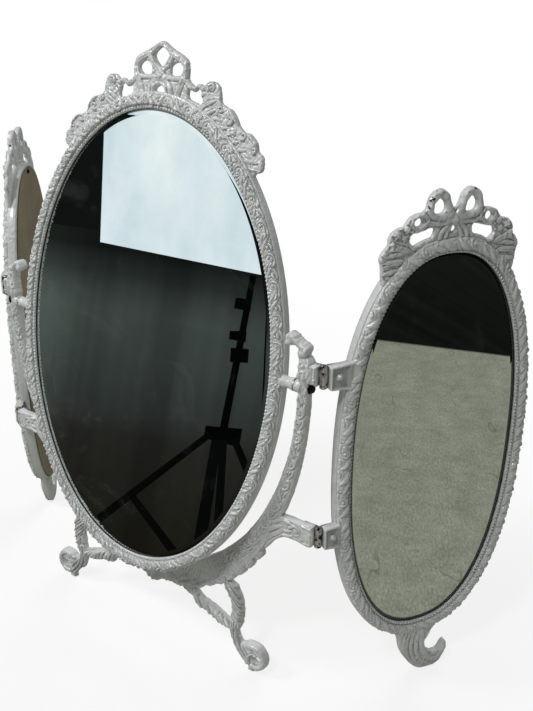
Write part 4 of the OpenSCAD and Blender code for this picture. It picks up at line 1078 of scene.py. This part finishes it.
stageLook = {
    "floor": "#f4f4f3", "floorBounce": "#c2c2ba", "room": "#141715",
    # a pale cloth in front of the mirror, far off and a little left; only reflections show it
    "cloth": [
        (-1.781, -1.402, 2.10), (-1.6378, -1.5672, 0.2183), (-1.0592, -2.0941, 0.1962), (-1.333, -1.808, 2.176)],
    # a black lamp stand, a quad for each tube, which only reflections show
    "lampStand": [
        [(-0.306, -0.561, 0.298), (-0.313, -0.562, 0.056), (-0.300, -0.565, 0.057), (-0.297, -0.564, 0.298)],
        [(-0.323, -0.558, 0.244), (-0.298, -0.566, 0.244), (-0.298, -0.565, 0.263), (-0.323, -0.558, 0.260)],
        [(-0.323, -0.559, 0.196), (-0.297, -0.567, 0.197), (-0.298, -0.566, 0.214), (-0.324, -0.559, 0.209)],
        [(-0.316, -0.562, 0.162), (-0.288, -0.570, 0.167), (-0.290, -0.569, 0.188), (-0.318, -0.561, 0.184)],
        [(-0.335, -0.555, 0.036), (-0.277, -0.571, 0.037), (-0.278, -0.572, 0.066), (-0.336, -0.556, 0.056)],
        [(-0.329, -0.557, 0.049), (-0.210, -0.209, 0.015), (-0.194, -0.201, 0.014), (-0.322, -0.559, 0.042)],
        [(-0.322, -0.559, 0.038), (-0.092, -0.243, 0.017), (-0.080, -0.251, 0.017), (-0.306, -0.563, 0.040)],
        [(-0.309, -0.563, 0.041), (-0.095, -0.282, 0.019), (-0.088, -0.290, 0.019), (-0.298, -0.566, 0.043)],
        [(-0.291, -0.567, 0.043), (-0.197, -0.483, 0.027), (-0.200, -0.504, 0.028), (-0.282, -0.570, 0.050)],
        [(-0.228, -0.281, 0.019), (-0.081, -0.197, 0.014), (-0.085, -0.213, 0.015), (-0.234, -0.297, 0.020)],
        [(-0.275, -0.572, 0.256), (-0.253, -0.579, 0.095), (-0.250, -0.580, 0.095), (-0.273, -0.573, 0.257)]],
    "image": (0.4623, 0.5166),  # where the centre glass shows the camera, right and back
    "fill": 0.12,
    # lamps: place and aim in metres, size, power, and whether the mirrors and the gloss show it
    "lamps": {
        "key": ((-1.2, -1.1, 1.7), (0, 0, 0.25), 0.45, 19.0, True),
        "side": ((0.2, -1.3, 1.9), (0.15, 0, 0.25), 0.3, 14.5, True),
        "top": ((0.1, 0.5, 1.9), (0.05, 0, 0.25), 0.8, 4.0, False),
        "back": ((-0.2, 1.6, 1.1), (0, 0, 0.25), 1.0, 13.0, False)},
}
# the photograph's place and angles
view = {"at": (0.4623, -0.4680, 0.5253), "right": 36.136, "up": 22.279, "roll": 0.514, "lens": 44.81, "sensor": 36.0}


def stagePlane(name, corners, material):
    mesh = bpy.data.meshes.new(name)
    mesh.from_pydata(corners, [], [(0, 1, 2, 3)])
    plane = bpy.data.objects.new(name, mesh)
    bpy.context.scene.collection.objects.link(plane)
    mesh.materials.append(material)
    return plane


# Pale floor: near white to the camera with the object's shadow on it. In reflections it glows with a painted
# reflection of the room where the mirror stands, its light and shade painted in: a grey mat on the right and dark
# boards elsewhere.
def floorMaterial():
    material, add, place = newMaterial("pale studio floor")
    path = add("LightPath")
    parts = add("SeparateXYZ", [place])
    x, y = parts.outputs["X"], parts.outputs["Y"]
    slant = add("Math", [y, 0.24, x], {"operation": "MULTIPLY_ADD"})
    near = add("MapRange", [slant, 0.994, 1.002, 1.0, 0.0])  # the mat ends along the line x + 0.24 y = 1
    right = add("MapRange", [x, -0.02, 0.10])
    mat = add("Math", [near, right], {"operation": "MULTIPLY"})
    # specks 5 mm long towards the glass, which shortens them, and smudges 30 mm long where the pile was brushed
    weave = add("Mapping", {"Vector": place, "Scale": (1.0, 2.4, 1.0)})
    tuft = add("TexNoise", {"Vector": weave, "Scale": 190.0, "Detail": 5.0, "Roughness": 0.75})
    brushed = add("Mapping", {"Vector": place, "Scale": (1.5, 1.0, 1.0)})
    smudge = add("TexNoise", {"Vector": brushed, "Scale": 30.0, "Detail": 6.0, "Roughness": 0.75})
    both = add("Math", [smudge, 0.5, tuft], {"operation": "MULTIPLY_ADD"})
    flat = add("MapRange", [both, 0.4, 1.1])
    pile = add("ValToRGB", [flat], stops=[(0.2, "#858780"), (0.5, "#a3a499"), (0.8, "#c0c0b8")])
    # a few dark scratches, each a piece of a noise's middle line
    winding = add("TexNoise", {"Vector": weave, "Scale": 8.0, "Detail": 2.0})
    line = add("Math", [winding, 0.5, 0.005], {"operation": "COMPARE"})
    rare = add("TexNoise", {"Vector": weave, "Scale": 16.0})
    share = add("MapRange", [rare, 0.51, 0.6, 0.0, 0.34])
    scratch = add("Math", [line, share], {"operation": "MULTIPLY"})
    scored = add("MixRGB", [scratch, pile, tone("#3a3d37")])
    # dark boards, which change with the distance from the object
    away = add("VectorMath", [place], {"operation": "LENGTH"}).outputs["Value"]
    far = add("MapRange", [away, 0.2, 6.0])
    boards = add("ValToRGB", [far], stops=[
        (0.0, "#1e1c16"), (0.09, "#2a2a26"), (0.12, "#343836"), (0.23, "#404643"), (0.36, "#454b48"),
        (0.6, "#2c312f"), (0.95, "#171a18")])
    # painted shade: the reflected boards darker to the right
    onRight = add("MapRange", [x, 0.1, 0.3, 1.0, 0.25])
    # folds of a dark curtain, as wedges about the camera's image behind the centre glass, so that they look
    # upright in the glass
    rightAt = add("Math", [x, stageLook["image"][0]], {"operation": "SUBTRACT"})
    backAt = add("Math", [y, stageLook["image"][1]], {"operation": "SUBTRACT"})
    wedge = add("Math", [backAt, rightAt], {"operation": "ARCTAN2"})
    fold = add("TexNoise", {"W": wedge, "Scale": 20.0, "Detail": 2.5}, {"noise_dimensions": "1D"})
    streak = add("MapRange", [fold, 0.35, 0.65, 0.8, 1.2])
    # painted light: the curtain's left end paler in the reflection
    paleEnd = add("MapRange", [wedge, -2.44, -2.36, 2.3, 1.0])
    lit = add("Math", [paleEnd, streak], {"operation": "MULTIPLY"})
    shade = add("Math", [onRight, lit], {"operation": "MULTIPLY"})
    dim = add("MixRGB", [1.0, boards, shade], {"blend_type": "MULTIPLY"})
    room = add("MixRGB", [mat, dim, scored])
    # what reflections show, what lights the object from below, and what the camera sees
    shown = add("Emission", [room])
    bounce = add("BsdfDiffuse", [tone(stageLook["floorBounce"])])
    pale = add("BsdfDiffuse", [tone(stageLook["floor"])])
    lift = add("Emission", [(1, 1, 1, 1)])
    whiter = add("MapRange", [away, 0.3, 1.0, 0.8, 1.0])
    cameraFloor = add("MixShader", [whiter, pale, lift])
    rest = add("MixShader", [path.outputs["Is Glossy Ray"], bounce, shown])
    surface = add("MixShader", [path.outputs["Is Camera Ray"], rest, cameraFloor])
    add("OutputMaterial", [surface])
    return material


# Hung white cloth with soft folds, lit from behind
def clothMaterial():
    material, add, place = newMaterial("backlit white cloth")
    wide = add("Mapping", {"Vector": place, "Scale": (2.2, 2.2, 0.8)})
    fold = add("TexNoise", {"Vector": wide, "Scale": 2.0, "Detail": 3.0})
    colour = add("ValToRGB", [fold], stops=[(0.35, "#dceaf1"), (0.6, "#f6fbfd")])
    glow = add("Emission", [colour, 1.18])
    add("OutputMaterial", [glow])
    return material


def addStage():
    stagePlane("floor", [(-6, -6, 0), (6, -6, 0), (6, 6, 0), (-6, 6, 0)], floorMaterial())
    black, add = newMaterial("black lamp stand enamel")[:2]
    shader = add("BsdfPrincipled", {"Base Color": tone("#0b0c0c"), "Roughness": 1.0, "Specular IOR Level": 0.0})
    add("OutputMaterial", [shader])
    reflected = [stagePlane("cloth", stageLook["cloth"], clothMaterial())]
    reflected += [stagePlane("lamp_stand_%d" % k, corners, black) for k, corners in enumerate(stageLook["lampStand"])]
    for plane in reflected:
        plane.visible_camera = plane.visible_diffuse = plane.visible_shadow = False
    world = bpy.data.worlds.new("studio")
    bpy.context.scene.world = world
    add = openTree(world)
    path = add("LightPath")
    soft = add("Background", [tone("#f3f6f5"), stageLook["fill"]])
    white = add("Background", [(1, 1, 1, 1)])
    dark = add("Background", [tone(stageLook["room"])])
    mirrorRay = add("MixShader", [path.outputs["Is Glossy Ray"], soft, dark])
    seen = add("MixShader", [path.outputs["Is Camera Ray"], mirrorRay, white])
    add("OutputWorld", [seen])
    for name, (at, aim, size, power, shows) in stageLook["lamps"].items():
        lamp = bpy.data.lights.new(name, "AREA")
        lamp.size, lamp.energy = size, power
        thing = bpy.data.objects.new(name, lamp)
        thing.location, thing.visible_glossy, thing.rotation_mode = at, shows, "QUATERNION"
        thing.rotation_quaternion = (Vector(at) - Vector(aim)).to_track_quat("Z", "Y")
        bpy.context.scene.collection.objects.link(thing)
    print("stage done")


def addCamera():
    az, el, roll = (math.radians(view[key]) for key in ("right", "up", "roll"))
    back = Vector((math.sin(az) * math.cos(el), -math.cos(az) * math.cos(el), math.sin(el)))
    right = Vector((math.cos(az), math.sin(az), 0))
    up = back.cross(right)
    across = right * math.cos(roll) + up * math.sin(roll)
    upward = up * math.cos(roll) - right * math.sin(roll)
    lens = bpy.data.cameras.new("camera")
    lens.lens, lens.sensor_width = view["lens"], view["sensor"]
    camera = bpy.data.objects.new("camera", lens)
    camera.matrix_world = Matrix.Translation(view["at"]) @ Matrix((across, upward, back)).transposed().to_4x4()
    bpy.context.scene.collection.objects.link(camera)
    bpy.context.scene.camera = camera


addStage()
addCamera()
bpy.context.scene.view_settings.view_transform = "Standard"

finishes = (("packing", card), ("backboard", board), ("screw", screwSteel), ("leaf", hingeSteel), ("pin", hingeSteel),
            ("rivets", paint), ("washer", hingeSteel), ("frame", paint), ("glass", centreSilver))
for name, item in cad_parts.items():
    finish = next(found for key, found in finishes if key in name)
    item.data.materials.clear()
    item.data.materials.append(finish)
